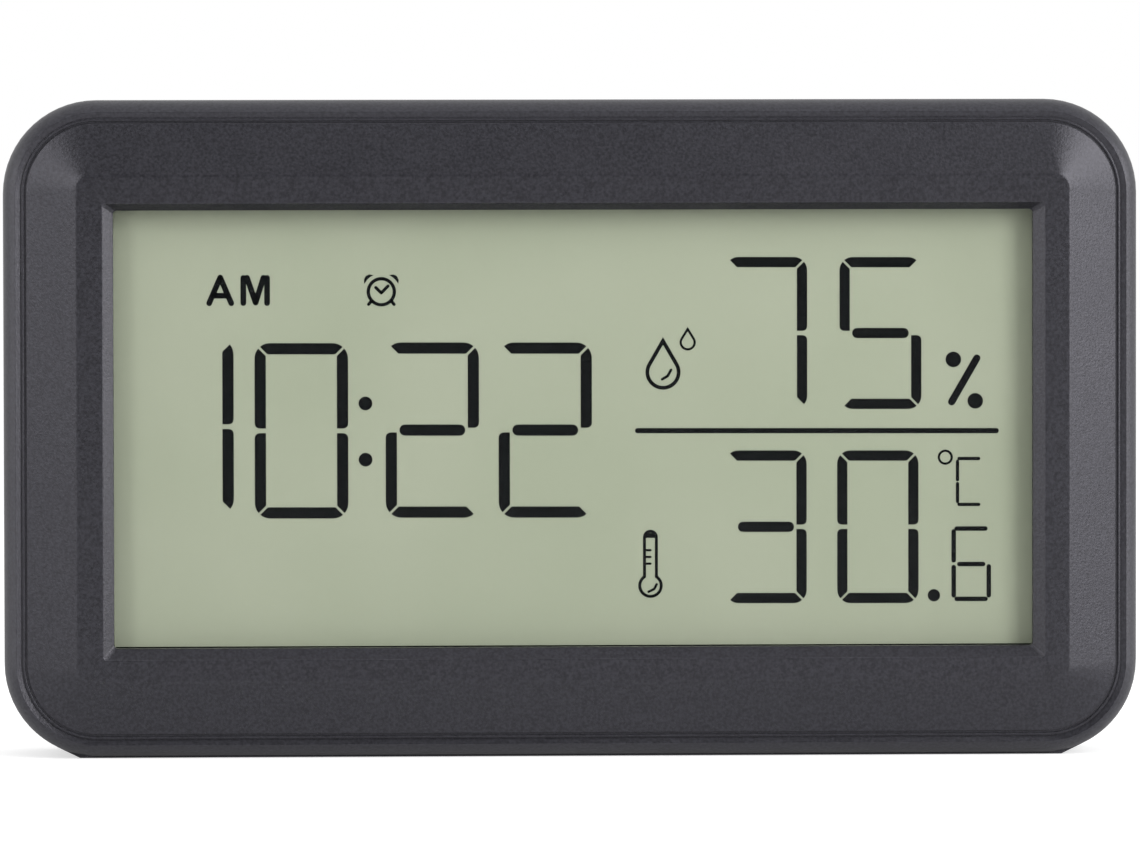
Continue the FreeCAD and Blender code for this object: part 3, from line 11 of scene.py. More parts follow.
import bmesh
import bpy
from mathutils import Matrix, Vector


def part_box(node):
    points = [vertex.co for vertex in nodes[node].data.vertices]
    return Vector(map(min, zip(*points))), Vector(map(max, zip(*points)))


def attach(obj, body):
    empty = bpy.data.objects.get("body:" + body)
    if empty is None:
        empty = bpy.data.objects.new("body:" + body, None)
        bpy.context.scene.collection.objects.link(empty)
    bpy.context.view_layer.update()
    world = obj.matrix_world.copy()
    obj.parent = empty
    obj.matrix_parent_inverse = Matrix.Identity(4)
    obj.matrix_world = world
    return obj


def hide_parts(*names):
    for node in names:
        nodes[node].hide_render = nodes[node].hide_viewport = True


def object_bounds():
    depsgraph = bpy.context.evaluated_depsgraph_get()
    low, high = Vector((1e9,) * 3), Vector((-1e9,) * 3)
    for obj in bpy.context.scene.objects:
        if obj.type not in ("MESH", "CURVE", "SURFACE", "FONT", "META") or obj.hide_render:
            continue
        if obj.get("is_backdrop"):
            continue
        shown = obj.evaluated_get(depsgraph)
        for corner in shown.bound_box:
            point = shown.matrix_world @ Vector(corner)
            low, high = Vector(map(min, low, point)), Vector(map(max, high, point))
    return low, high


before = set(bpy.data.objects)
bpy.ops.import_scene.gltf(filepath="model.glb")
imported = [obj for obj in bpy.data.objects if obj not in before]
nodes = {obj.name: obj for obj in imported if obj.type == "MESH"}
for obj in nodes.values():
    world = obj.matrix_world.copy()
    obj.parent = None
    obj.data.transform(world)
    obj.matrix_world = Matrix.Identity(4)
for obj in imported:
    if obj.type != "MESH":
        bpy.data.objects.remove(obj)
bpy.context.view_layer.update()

bpy.context.scene.view_settings.view_transform = "Standard"
MM = 0.001
print("nodes in the frame:", len(nodes))

# %% [markdown]
# ## Where things are
# The frame has X across the front, Y from front to back and Z up. On a clock it is handier to speak
# of a depth behind the front plane and of a rise above the middle of the case, so one small
# function turns those into a point.

# %% Depths and rises
FRONT_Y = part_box("front_bezel")[0].y
CENTRE_Z = 39.2 * MM


def place(x, depth, rise):
    """Point at x, at a depth behind the front plane, at a rise above the middle of the case."""
    return Vector((x * MM, FRONT_Y + depth * MM, CENTRE_Z + rise * MM))


print("front plane at y =", round(FRONT_Y / MM, 2), "mm")

# %% [markdown]
# ## The camera
# The photograph was taken from well back, almost square to the face: a little from the left and a
# little from above. A long lens far away gives that flat look. The lens is worked out from the
# width that the picture shows at the widest part of the case. One function sets a thing back from
# what it is aimed at. It places the camera here and the lamps later.

# %% Camera
CAMERA_TURN, CAMERA_RISE, CAMERA_ROLL = -2.5, 1.75, -0.1
CAMERA_DISTANCE = 1.1
CAMERA_AIM = Vector((0.17 * MM, 0.0, 38.92 * MM))
PICTURE_WIDTH = 135.8 * MM
WIDEST_Y = FRONT_Y + 5.0 * MM
SENSOR_WIDTH = 36.0
NEAR_LIMIT, FAR_LIMIT = 0.05, 20.0


def set_back(item, aim, turn, rise, distance):
    """Aim a camera or lamp from a distance, turned right from the front and raised, in degrees."""
    turn, rise = math.radians(turn), math.radians(rise)
    away = Vector((
        math.sin(turn) * math.cos(rise), -math.cos(turn) * math.cos(rise), math.sin(rise),
    ))
    item.location = aim + away * distance
    item.rotation_euler = (-away).to_track_quat("-Z", "Y").to_euler()


camera = bpy.data.objects.new("photo_camera", bpy.data.cameras.new("photo_camera"))
bpy.context.scene.collection.objects.link(camera)
bpy.context.scene.camera = camera
set_back(camera, CAMERA_AIM, CAMERA_TURN, CAMERA_RISE, CAMERA_DISTANCE)
camera.rotation_euler.rotate_axis("Z", math.radians(CAMERA_ROLL))
camera.data.sensor_width = SENSOR_WIDTH
camera.data.lens = SENSOR_WIDTH * (CAMERA_DISTANCE + WIDEST_Y) / PICTURE_WIDTH
camera.data.clip_start, camera.data.clip_end = NEAR_LIMIT, FAR_LIMIT
print("lens:", round(camera.data.lens, 1), "mm")

# %% [markdown]
# ## Helpers for materials
# Every finish here is a small tree of shader nodes. Noise in object coordinates, which are metres,
# gives grain at its true size, because no piece is scaled. The first helpers add a node and wire
# it. The others build on them: noise of a given grain size, and what it drives.

# %% Material helpers
WHITE, BLACK = (1.0, 1.0, 1.0, 1.0), (0.0, 0.0, 0.0, 1.0)
TONE_EDGES = (0.35, 0.65)
SPECKLE_SHARE = 1.4
CLOUD_GRAIN = 9.0
GLOSS_SPREAD = 0.05
METAL_RELIEF = 0.01
METAL_SHINE, METAL_HAZE = 0.08, 0.1


def srgb(red, green, blue):
    """Colour as read from a picture, 0 to 255, as the linear values that shaders use."""
    linear = []
    for value in (red, green, blue):
        share = value / 255
        linear.append(share / 12.92 if share <= 0.04045 else ((share + 0.055) / 1.055) ** 2.4)
    return (*linear, 1.0)


def set_inputs(tree, node, **wires):
    """Give a node's inputs, by name, a value or a wire each. Returns its first output, if any."""
    for label, value in wires.items():
        feed(tree, node.inputs[label.replace("_", " ")], value)
    return node.outputs[0] if node.outputs else None


def feed(tree, socket, value):
    """Give one input a value, a wire or a list of wires."""
    for source in value if isinstance(value, list) else [value]:
        if isinstance(source, bpy.types.NodeSocket):
            tree.links.new(source, socket)
        else:
            socket.default_value = source


def add_node(tree, kind, settings=None, **wires):
    """New node of a kind with its settings, wired in the same way."""
    node = tree.nodes.new(kind)
    for label, value in (settings or {}).items():
        setattr(node, label, value)
    return set_inputs(tree, node, **wires)


def combined(tree, operation, *values):
    """Result of a math operation on two values or wires."""
    result = add_node(tree, "ShaderNodeMath", {"operation": operation})
    for socket, value in zip(result.node.inputs, values):
        feed(tree, socket, value)
    return result


def new_finish(name, roughness, metallic=0.0):
    """Empty material with one Principled shader. Returns the material, its tree and the shader."""
    material = bpy.data.materials.new(name + "_finish")
    material.use_nodes = True
    tree = material.node_tree
    tree.nodes.clear()
    shader = add_node(
        tree, "ShaderNodeBsdfPrincipled", Roughness=roughness, Metallic=metallic
    ).node
    add_node(tree, "ShaderNodeOutputMaterial", Surface=shader.outputs["BSDF"])
    return material, tree, shader


def object_point(tree):
    """Place on the object, in metres."""
    return add_node(tree, "ShaderNodeTexCoord").node.outputs["Object"]


def noise(tree, grain, detail=2.0):
    """Noise whose grains are about this many millimetres across."""
    return add_node(
        tree, "ShaderNodeTexNoise", Vector=object_point(tree), Scale=1 / (grain * MM), Detail=detail
    )


def spread(tree, factor, low, high):
    """A factor from 0 to 1 stretched to run from low to high."""
    return add_node(tree, "ShaderNodeMapRange", Value=factor, To_Min=low, To_Max=high)


def two_tones(tree, factor, dark, light):
    """Colour that follows a factor, from a dark tone to a light one."""
    colour = add_node(tree, "ShaderNodeValToRGB", Fac=factor)
    elements = colour.node.color_ramp.elements
    for element, position, tone in zip(elements, TONE_EDGES, (dark, light)):
        element.position, element.color = position, srgb(*tone)
    return colour


def bump(tree, height, depth):
    """Shallow relief of the given depth in millimetres."""
    return add_node(
        tree, "ShaderNodeBump", Strength=1.0, Distance=depth * MM, Height=height
    )


def plastic(name, dark, light, roughness, grain, depth, specular=0.5, tint=WHITE):
    """Moulded plastic: two close tones, slightly uneven gloss and a fine moulded grain."""
    material, tree, shader = new_finish(name, roughness)
    speckle, cloudy = noise(tree, grain * SPECKLE_SHARE, 3.0), noise(tree, CLOUD_GRAIN)
    set_inputs(
        tree, shader, Specular_IOR_Level=specular, Specular_Tint=tint,
        Base_Color=two_tones(tree, speckle, dark, light),
        Roughness=spread(tree, cloudy, roughness - GLOSS_SPREAD, roughness + GLOSS_SPREAD),
        Normal=bump(tree, noise(tree, grain), depth),
    )
    return material


def metal(name, dark, light, roughness, grain):
    """Bare metal with faint streaks and an uneven gloss."""
    material, tree, shader = new_finish(name, roughness, 1.0)
    streaks = noise(tree, grain, 3.0)
    set_inputs(
        tree, shader, Base_Color=two_tones(tree, streaks, dark, light),
        Roughness=spread(tree, streaks, roughness - METAL_SHINE, roughness + METAL_HAZE),
        Normal=bump(tree, streaks, METAL_RELIEF),
    )
    return material


print("material helpers ready")

# %% [markdown]
# ## Helpers for shapes
# Most visible pieces of this clock are moulded, and a moulded part has no sharp edge. A piece
# copied from the frame is welded first, because it arrives as loose triangles. Then a narrow Bevel
# rounds its edges and Weighted Normal keeps its flat faces looking flat. Other pieces are drawn as
# rings of points, and one function makes the faces between two rings.

# %% Shape helpers
WELD_DISTANCE = 0.002 * MM
FLAT_ANGLE = math.radians(0.6)
SOFT_ANGLE = math.radians(30.0)


def mesh_from(name, shape, flat=False):
    """Turn a bmesh into a mesh with smooth or flat faces, and free the bmesh."""
    mesh = bpy.data.meshes.new(name)
    for face in shape.faces:
        face.smooth = not flat
    shape.to_mesh(mesh)
    shape.free()
    return mesh


def add_piece(name, mesh, body, material, stands_for=()):
    """Link a finished mesh as a piece that moves with a body and may stand for some nodes."""
    piece = bpy.data.objects.new(name, mesh)
    bpy.context.scene.collection.objects.link(piece)
    mesh.materials.clear()
    mesh.materials.append(material)
    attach(piece, body)
    if stands_for:
        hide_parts(*stands_for)
    return piece


def add_shape(name, shape, body, material, stands_for=(), flat=False):
    """The same for a bmesh."""
    return add_piece(name, mesh_from(name, shape, flat), body, material, stands_for)


def softened_copy(node, body, material, width):
    """Welded copy of a frame node with rounded edges, which stands for that node."""
    shape = bmesh.new()
    shape.from_mesh(nodes[node].data)
    bmesh.ops.remove_doubles(shape, verts=shape.verts, dist=WELD_DISTANCE)
    bmesh.ops.dissolve_limit(
        shape, angle_limit=FLAT_ANGLE, verts=shape.verts, edges=shape.edges
    )
    piece = add_shape(node + "_shell", shape, body, material, [node])
    edge = piece.modifiers.new("soft_edges", "BEVEL")
    edge.width = width * MM
    edge.segments = 2
    edge.limit_method = "ANGLE"
    edge.angle_limit = SOFT_ANGLE
    edge.use_clamp_overlap = True
    edge.harden_normals = False
    shading = piece.modifiers.new("even_shading", "WEIGHTED_NORMAL")
    shading.keep_sharp = True
    return piece


def bridge(shape, near, far):
    """Faces between matching points of two rings: quads, or triangles where a ring is one point."""
    faces = []
    for index in range(len(near)):
        after = (index + 1) % len(near)
        corners = dict.fromkeys((near[index], near[after], far[after], far[index]))
        faces.append(shape.faces.new(list(corners)))
    return faces


def turned(profile, point_at, steps):
    """Shape turned round a line, from points that hold a radius and a distance along the line.

    Its first and last point are on the line. The function point_at gives the place of a point
    from its distances across, beside and along the line.
    """
    shape = bmesh.new()
    turns = [2 * math.pi * step / steps for step in range(steps)]
    rings = []
    for radius, along in profile:
        if radius == 0:
            rings.append([shape.verts.new(point_at(0.0, 0.0, along))] * steps)
        else:
            rings.append([
                shape.verts.new(point_at(radius * math.cos(turn), radius * math.sin(turn), along))
                for turn in turns
            ])
    for near, far in zip(rings, rings[1:]):
        bridge(shape, near, far)
    bmesh.ops.recalc_face_normals(shape, faces=shape.faces)
    return shape


def plate(shape, *levels):
    """Solid between two levels. Each level is an outline, or an outline and a hole in it."""
    rows = [[[shape.verts.new(point) for point in loop] for loop in level] for level in levels]
    faces = []
    for near, far in zip(*rows):
        faces += bridge(shape, near, far)
    for loops in rows:
        faces += bridge(shape, *loops) if len(loops) > 1 else [shape.faces.new(loops[0])]
    bmesh.ops.recalc_face_normals(shape, faces=faces)


def joined(shapes):
    """One bmesh that holds several shapes."""
    whole = bmesh.new()
    for shape in shapes:
        part = bpy.data.meshes.new("part")
        shape.to_mesh(part)
        shape.free()
        whole.from_mesh(part)
        bpy.data.meshes.remove(part)
    return whole


print("shape helpers ready")

# %% [markdown]
# ## Dark grey housing plastic
# The case and the front frame are moulded in a cool dark grey. The tool that forms them is lightly
# sparked, which leaves a grain of about a quarter of a millimetre that breaks up every highlight.
# Speckle in the colour and the same size of noise in a bump give that. The case is a little paler
# and duller than the front frame.

# %% Housing plastic
COOL_GLOSS = (0.93, 0.91, 1.0, 1.0)
housing_plastic = plastic(
    "housing_plastic", (16, 16, 20), (36, 36, 41), 0.31, 0.25, 0.02, tint=COOL_GLOSS
)
case_plastic = plastic(
    "case_plastic", (25, 25, 29), (43, 43, 48), 0.43, 0.25, 0.018, tint=COOL_GLOSS
)
print("finishes:", housing_plastic.name, "and", case_plastic.name)

# %% [markdown]
# ## The front frame
# This is the piece that takes the most skill. Its face is a ruled band that slopes from a groove at
# the rim to a crease, then a flat, then a bevel down to the window. Each line of its section is a
# rounded rectangle with its own corner, so the frame is lofted: matching points on one rounded
# rectangle after another are joined into quads. A short curve at each line makes the soft edge
# that catches the light.

# %% Front frame section
WINDOW_HALF_WIDTH = 54.6
WINDOW_TOP = 25.9
WINDOW_BOTTOM = -26.02
WINDOW_SHIFT = 0.18
CASE_HALF_WIDTH = 67.5
CASE_HALF_HEIGHT = 39.0
CASE_CORNER = 11.1
BAND_INSET = 2.75
BEAD_INNER_INSET = 2.5
BEAD_INSET = 2.22
LIP_INSET = 1.44
LIP_BACK_INSET = 1.95
SKIRT_INSET = 3.9


def inset_outline(inset, depth, softness):
    """Line of the section that runs round the case, a given distance inside its outline."""
    return (
        CASE_HALF_WIDTH - inset, CASE_HALF_HEIGHT - inset, inset - CASE_HALF_HEIGHT,
        CASE_CORNER - inset, depth, 0.0, softness,
    )


# half width, top rise, bottom rise, corner radius, depth, how far the middle lies to the right, and
# softness of the edge
frame_section = [
    (WINDOW_HALF_WIDTH, WINDOW_TOP, WINDOW_BOTTOM, 0.45, 2.28, WINDOW_SHIFT, 0.02),
    (WINDOW_HALF_WIDTH, WINDOW_TOP, WINDOW_BOTTOM, 0.45, 1.15, WINDOW_SHIFT, 0.1),
    (55.95, 26.75, -27.4, 0.45, 0.0, 0.26, 0.12),
    (58.93, 30.0, -30.0, 1.6, 0.0, 0.17, 0.2),
    inset_outline(BAND_INSET, 1.9, 0.1),
    inset_outline(BAND_INSET, 2.2, 0.04),
    inset_outline(BEAD_INNER_INSET, 2.2, 0.04),
    inset_outline(BEAD_INNER_INSET, 1.95, 0.12),
    inset_outline(BEAD_INSET, 1.95, 0.12),
    inset_outline(BEAD_INSET, 2.3, 0.12),
    inset_outline(LIP_INSET, 2.075, 0.02),
    inset_outline(LIP_INSET + 0.02, 2.15, 0.01),
    inset_outline(LIP_BACK_INSET, 2.8, 0.03),
    inset_outline(LIP_BACK_INSET, 3.5, 0.03),
    inset_outline(BEAD_INSET, 3.6, 0.03),
    inset_outline(BEAD_INSET, 6.5, 0.15),
    inset_outline(SKIRT_INSET, 6.5, 0.15),
    inset_outline(SKIRT_INSET, 3.4, 0.1),
    (57.6, 30.6, -30.6, 1.0, 3.4, 0.0, 0.1),
    (57.6, 30.6, -30.6, 1.0, 2.28, 0.0, 0.1),
]
print("lines in the section:", len(frame_section))

# %% [markdown]
# Each line of that section becomes a loop of points. A short curve softens its edge. It starts on
# the way from the line before, and ends on the way to the line after.

# %% Loft round the frame
CORNER_STEPS = 18
SOFT_STEPS = 4
MOST_SOFTNESS = 0.45


def rounded_loop(half_width, top, bottom, radius, depth, shift=0.0):
    """Points of a rounded rectangle, in the same order for every line of a section."""
    points = []
    for quarter, (side, edge) in enumerate(((1, top), (-1, top), (-1, bottom), (1, bottom))):
        middle_x = shift + side * (half_width - radius)
        middle_rise = edge - math.copysign(radius, edge)
        for step in range(CORNER_STEPS + 1):
            angle = math.radians(90) * (quarter + step / CORNER_STEPS)
            points.append(place(
                middle_x + radius * math.cos(angle), depth, middle_rise + radius * math.sin(angle)
            ))
    return points


def softened_loops(section):
    """Each line of a closed section as several loops, on a short curve that rounds its edge."""
    loops = [rounded_loop(*line[:-1]) for line in section]
    softened = []
    for index, line in enumerate(section):
        softness = line[-1] * MM
        rows = [[] for _ in range(SOFT_STEPS + 1)]
        for ahead, here, behind in zip(
            loops[index - 1], loops[index], loops[(index + 1) % len(loops)]
        ):
            start, end = (
                here + (far - here) * min(MOST_SOFTNESS, softness / (far - here).length)
                for far in (ahead, behind)
            )
            for step, row in enumerate(rows):
                share = step / SOFT_STEPS
                row.append(
                    start * (1 - share) ** 2 + here * 2 * share * (1 - share) + end * share ** 2
                )
        softened.extend(rows)
    return softened


def loft(loops, closed=True):
    """Faces between neighbouring loops; an open loft gets a face at each end."""
    shape = bmesh.new()
    rings = [[shape.verts.new(point) for point in loop] for loop in loops]
    for near, far in zip(rings, rings[1:]):
        bridge(shape, near, far)
    if closed:
        bridge(shape, rings[-1], rings[0])
    else:
        shape.faces.new(rings[0])
        shape.faces.new(rings[-1])
    bmesh.ops.recalc_face_normals(shape, faces=shape.faces)
    return shape


frame_loops = softened_loops(frame_section)
print("loops round the frame:", len(frame_loops), "points in each:", len(frame_loops[0]))

# %% [markdown]
# Behind its face the frame carries round posts: four that the case screws bite into, and four
# shorter ones that hold the display tray. They are turned shapes with a hole down the middle.

# %% Posts and the finished frame
POST_EDGE = 0.15
POST_STEPS = 32
CASE_POSTS = (-60.39, 60.39, -31.6, 31.6)
TRAY_POSTS = (-40.0, 40.0, -32.9, 32.9)


def four_places(left, right, low, high):
    """The corners of a rectangle, as x and rise."""
    return [(x, rise) for x in (left, right) for rise in (low, high)]


def post(x, rise, radius, bore, front, back, blind):
    """Round post with a hole from its back that ends at a depth."""
    profile = [
        (0, front), (radius, front), (radius, back - POST_EDGE), (radius - POST_EDGE, back),
        (bore, back), (bore, blind), (0, blind),
    ]
    return turned(
        profile, lambda across, up, depth: place(x + across, depth, rise + up), POST_STEPS
    )


frame_shapes = [loft(frame_loops)]
# the sizes are radius, bore, and the depths of the front, the back and the end of the hole
for posts, sizes in (
    (CASE_POSTS, (2.5, 1.1, 3.0, 12.9, 6.8)), (TRAY_POSTS, (2.0, 0.8, 2.2, 6.3, 4.6)),
):
    frame_shapes += [post(x, rise, *sizes) for x, rise in four_places(*posts)]
front_frame = add_shape(
    "front_frame", joined(frame_shapes), "housing", housing_plastic,
    ["front_bezel"],
)
front_frame.modifiers.new("even_shading", "WEIGHTED_NORMAL")
print("front frame faces:", len(front_frame.data.polygons))

# %% [markdown]
# ## The rear case, door, stand leg and buttons
# These come straight from the frame, welded and given rounded edges. That keeps every slot, recess
# and hole where the engineering model has it.

# %% Moulded pieces from the frame
BUTTON_RISES = {"down": -17.25, "up": -5.75, "alarm": 5.75, "mode": 17.25}
button_plastic = plastic("button_plastic", (28, 28, 31), (38, 38, 41), 0.5, 0.2, 0.01, 0.4)
rear_shell = softened_copy("rear_case", "housing", case_plastic, 0.12)
softened_copy("battery_door", "door", case_plastic, 0.2)
softened_copy("stand_leg", "stand", case_plastic, 0.2)
for use in BUTTON_RISES:
    softened_copy("button_" + use, use + "_button", button_plastic, 0.12)
print("rear case faces:", len(rear_shell.data.polygons))

# %% [markdown]
# The case stands on a flat base that is a little narrower than its rounded corners. On the real
# clock a short slope leads from the end of the base up to the round of the corner. It is a straight
# line that just touches the corner's circle, so its end is worked out from that circle, and three
# such sections follow the case as it narrows towards the back.

# %% Slopes at the ends of the base
BASE_HALF_WIDTH = 58.6
BASE_RISE = -CENTRE_Z / MM
BASE_TUCK = 0.05
HEEL_HEIGHT = 1.0
BASE_DEPTHS = (4.8, 9.0, 21.5)
CASE_NARROWING = (0.0, 0.0, 0.42)
SLOPE_SINK = 0.6


def slope_section(side, depth, narrowing):
    """Corner of the base, the point where the slope meets the case, and two points inside it."""
    radius = CASE_CORNER - narrowing
    middle_x = CASE_HALF_WIDTH - CASE_CORNER
    middle_rise = CASE_CORNER - CASE_HALF_HEIGHT
    across, up = middle_x - BASE_HALF_WIDTH, middle_rise - BASE_RISE
    reach = math.hypot(across, up)
    angle = math.atan2(up, across) - math.asin(radius / reach)
    length = math.sqrt(reach ** 2 - radius ** 2)
    end_x = BASE_HALF_WIDTH + length * math.cos(angle)
    end_rise = BASE_RISE + length * math.sin(angle)
    inward_x = (middle_x - end_x) / radius * SLOPE_SINK
    inward_rise = (middle_rise - end_rise) / radius * SLOPE_SINK
    return [place(side * x, depth, rise) for x, rise in (
        (BASE_HALF_WIDTH - BASE_TUCK, BASE_RISE), (end_x, end_rise),
        (end_x + inward_x, end_rise + inward_rise),
        (BASE_HALF_WIDTH - BASE_TUCK, BASE_RISE + HEEL_HEIGHT),
    )]


slopes = [
    loft([slope_section(side, *at) for at in zip(BASE_DEPTHS, CASE_NARROWING)], closed=False)
    for side in (-1, 1)
]
base_slopes = add_shape(
    "base_slopes", joined(slopes), "housing", case_plastic, flat=True
)
print("faces of the slopes:", len(base_slopes.data.polygons))

# %% [markdown]
# ## Display layers
# A liquid crystal display is a stack: a clear window, a polariser film, two sheets of glass with
# the crystal between them, and a reflector film. It reads grey-green because the crystal and the
# reflector tint it. The layers in front are almost clear, so they are thin panes whose
# shader is mostly see-through, and the rear glass carries the grey-green face.

# %% Display finishes
SMUDGE_GRAIN = 14.0
SMUDGE_SHARE = 2.5
FACING_BLEND = 0.25


def clear_finish(name, tint, head_on, grazing, roughness):
    """See-through finish that shows more of its gloss towards grazing angles."""
    material, tree, shader = new_finish(name, roughness)
    facing = add_node(tree, "ShaderNodeLayerWeight", Blend=FACING_BLEND).node.outputs["Facing"]
    set_inputs(
        tree, shader, Base_Color=srgb(*tint), Alpha=spread(tree, facing, head_on, grazing),
        Roughness=spread(
            tree, noise(tree, SMUDGE_GRAIN), roughness, roughness * SMUDGE_SHARE
        ),
    )
    return material


clear_plastic = clear_finish("clear_plastic", (40, 42, 44), 0.03, 0.5, 0.03)
display_glass = clear_finish("display_glass", (60, 70, 62), 0.012, 0.08, 0.04)

display_face, tree, shader = new_finish("display_face", 0.42)
set_inputs(
    tree, shader, Specular_IOR_Level=0.25,
    Base_Color=two_tones(tree, noise(tree, 24.0, 1.0), (173, 181, 157), (178, 185, 162)),
    Normal=bump(tree, noise(tree, 0.3), 0.004),
)
print("display finishes ready")

# %% [markdown]
# Every pane is a rounded rectangle with a small ground edge at its front and its back. The rear
# glass ends higher than the others, which leaves the ledge that the contacts of the display are on.

# %% Display panes
GLASS_HALF_WIDTH = 56.2
GLASS_TOP = 29.0
GLASS_BOTTOM = -29.0
LEDGE_BOTTOM = -26.3
FACE_DEPTH = 4.62
GROUND_EDGE = 0.12


def pane(name, stands_for, material, bottom, front, back, corner=0.4):
    """Thin rectangular pane between two depths, which stands for one or more nodes."""
    loops = [
        rounded_loop(
            GLASS_HALF_WIDTH - inset, GLASS_TOP - inset, bottom + inset, corner - inset, depth
        )
        for inset, depth in (
            (GROUND_EDGE, front), (0.0, front + GROUND_EDGE),
            (0.0, back - GROUND_EDGE), (GROUND_EDGE, back),
        )
    ]
    add_shape(name, loft(loops, closed=False), "housing", material, stands_for, flat=True)


pane(
    "window_lens", ["display_window"], clear_plastic,
    GLASS_BOTTOM, 2.31, 3.29, corner=1.0,
)
pane(
    "front_glass", ["lcd_front_polariser", "lcd_front_glass"], display_glass,
    GLASS_BOTTOM, 3.32, 4.55,
)
pane(
    "rear_glass", ["lcd_rear_glass"], display_face,
    LEDGE_BOTTOM, FACE_DEPTH, 5.69,
)
print("panes made")

# %% [markdown]
# ## Display marks
# Each figure is a seven-segment digit: a rounded rectangular ring cut by narrow slanted gaps. One
# function draws the outline of each segment from the digit's own width, height and stroke, so the
# large clock figures and the smaller ones share one drawing. The marks are thin solid plates
# that lie against the display's face.

# %% Marks drawn as thin plates
MARK_THICKNESS = 0.03
MARK_SINK = 0.005
MARK_SHIFT = 0.04
MARK_SLOPE = 0.003
MARK_LEVEL_X = -2.8
marks = bmesh.new()


def mark_point(x, rise, depth):
    """Point of a mark. The display sits a hair askew in its tray, and so do its marks."""
    return place(x + MARK_SHIFT, depth, rise - MARK_SLOPE * (x - MARK_LEVEL_X))


def add_plate(*loops):
    """Thin plate from an outline, or from an outline and a hole in it."""
    plate(marks, *(
        [[mark_point(x, rise, depth) for x, rise in loop] for loop in loops]
        for depth in (FACE_DEPTH - MARK_THICKNESS, FACE_DEPTH - MARK_SINK)
    ))


def arc(centre, radius, start, end, steps=8):
    """Points on an arc, with its angles in degrees."""
    points = []
    for step in range(steps + 1):
        angle = math.radians(start + (end - start) * step / steps)
        points.append((centre[0] + radius * math.cos(angle), centre[1] + radius * math.sin(angle)))
    return points


def dot(centre, radius, steps=28):
    """Outline of a round dot."""
    return arc(centre, radius, 0, 360 - 360 / steps, steps - 1)


def bar(start, end, width, steps=6):
    """Outline of a straight stroke with round ends."""
    turn = math.degrees(math.atan2(end[1] - start[1], end[0] - start[0]))
    return (
        arc(end, width / 2, turn - 90, turn + 90, steps)
        + arc(start, width / 2, turn + 90, turn + 270, steps)
    )


def add_bars(width, strokes):
    """Strokes of one width, each from x and rise at its start and at its end."""
    for x, rise, end_x, end_rise in strokes:
        add_plate(bar((x, rise), (end_x, end_rise), width))


print("mark helpers ready")

# %% [markdown]
# The seven segments are known by letters: a to f clockwise from the top, and g in the middle. Three
# drawn ones give all seven, because the four sides mirror each other and so do top and bottom.

# %% Segments of a digit
END_CORNER_SHARE = 0.45
LIT = {0: "abcdef", 1: "bc", 2: "abged", 3: "abgcd", 5: "afgcd", 7: "abc"}


def segment_outlines(width, height, stroke, corner, gap, inset):
    """Outlines of the seven segments of a digit whose lower left corner is at zero."""
    half = height / 2
    cut = gap / math.sqrt(2)
    lean = math.degrees(math.asin(gap / 2 / corner))
    end_corner = stroke * END_CORNER_SHARE
    top = [(stroke + cut, height - stroke), (width - stroke - cut, height - stroke)]
    top += arc((width - corner, height - corner), corner, 45 + lean, 90)
    top += arc((corner, height - corner), corner, 90, 135 - lean)
    side = [(width - stroke, height - stroke - cut), (width - stroke, half + gap)]
    side += arc((width - end_corner, half + gap + end_corner), end_corner, -90, 0, 5)
    side += arc((width - corner, height - corner), corner, 0, 45 - lean)
    middle = arc((width - stroke - inset - stroke / 2, half), stroke / 2, -90, 90)
    middle += arc((stroke + inset + stroke / 2, half), stroke / 2, 90, 270)

    def mirrored(outline, across, down):
        return [
            (width - x if across else x, height - rise if down else rise) for x, rise in outline
        ]

    return {
        "a": top, "b": side, "c": mirrored(side, False, True), "d": mirrored(top, False, True),
        "e": mirrored(side, True, True), "f": mirrored(side, True, False), "g": middle,
    }


def add_digit(value, left, bottom, style):
    """Lit segments of one figure."""
    outlines = segment_outlines(*style)
    for letter in LIT[value]:
        add_plate([(left + x, bottom + rise) for x, rise in outlines[letter]])


print("figures that can be drawn:", sorted(LIT))

# %% [markdown]
# The time, the humidity and the temperature each have their own size of digit. Their places are
# those of their lower left corners, from the middle of the case.

# %% Figures of the time, humidity and temperature
# width, height, stroke, corner radius, gap between segments, inset of the middle one
TIME_STYLE = (11.11, 20.86, 1.33, 1.85, 0.28, 0.3)
HUMIDITY_STYLE = (9.77, 18.11, 1.22, 1.6, 0.26, 0.28)
TEMPERATURE_STYLE = (9.72, 18.22, 1.22, 1.6, 0.26, 0.28)
for value, left, bottom, style in (
    (1, -51.34, -10.36, TIME_STYLE), (0, -37.73, -10.86, TIME_STYLE),
    (2, -22.16, -10.77, TIME_STYLE), (2, -8.71, -10.77, TIME_STYLE),
    (7, 18.33, 2.18, HUMIDITY_STYLE), (5, 31.97, 2.18, HUMIDITY_STYLE),
    (3, 18.30, -20.99, TEMPERATURE_STYLE), (0, 31.67, -20.99, TEMPERATURE_STYLE),
):
    add_digit(value, left, bottom, style)
for x, rise, radius in ((-24.56, 2.83, 0.82), (-24.56, -3.86, 0.82), (43.23, -20.07, 0.74)):
    add_plate(dot((x, rise), radius))
print("figures drawn")

# %% [markdown]
# The small marks round the figures say what they mean: a bell clock for the alarm, two drops and a
# percent sign for humidity, a bulb thermometer and a degree sign for temperature. They are all
# common symbols, built from bars, dots and rings.

# %% Small marks
LETTER_STROKE = 0.68
BELL_CLOCK = (-22.64, 16.12)
BELL = (
    (-2.02, 0.94), (-2.07, 1.42), (-1.85, 1.86), (-1.45, 2.06), (-0.92, 1.97), (-1.37, 1.72),
    (-1.7, 1.40),
)

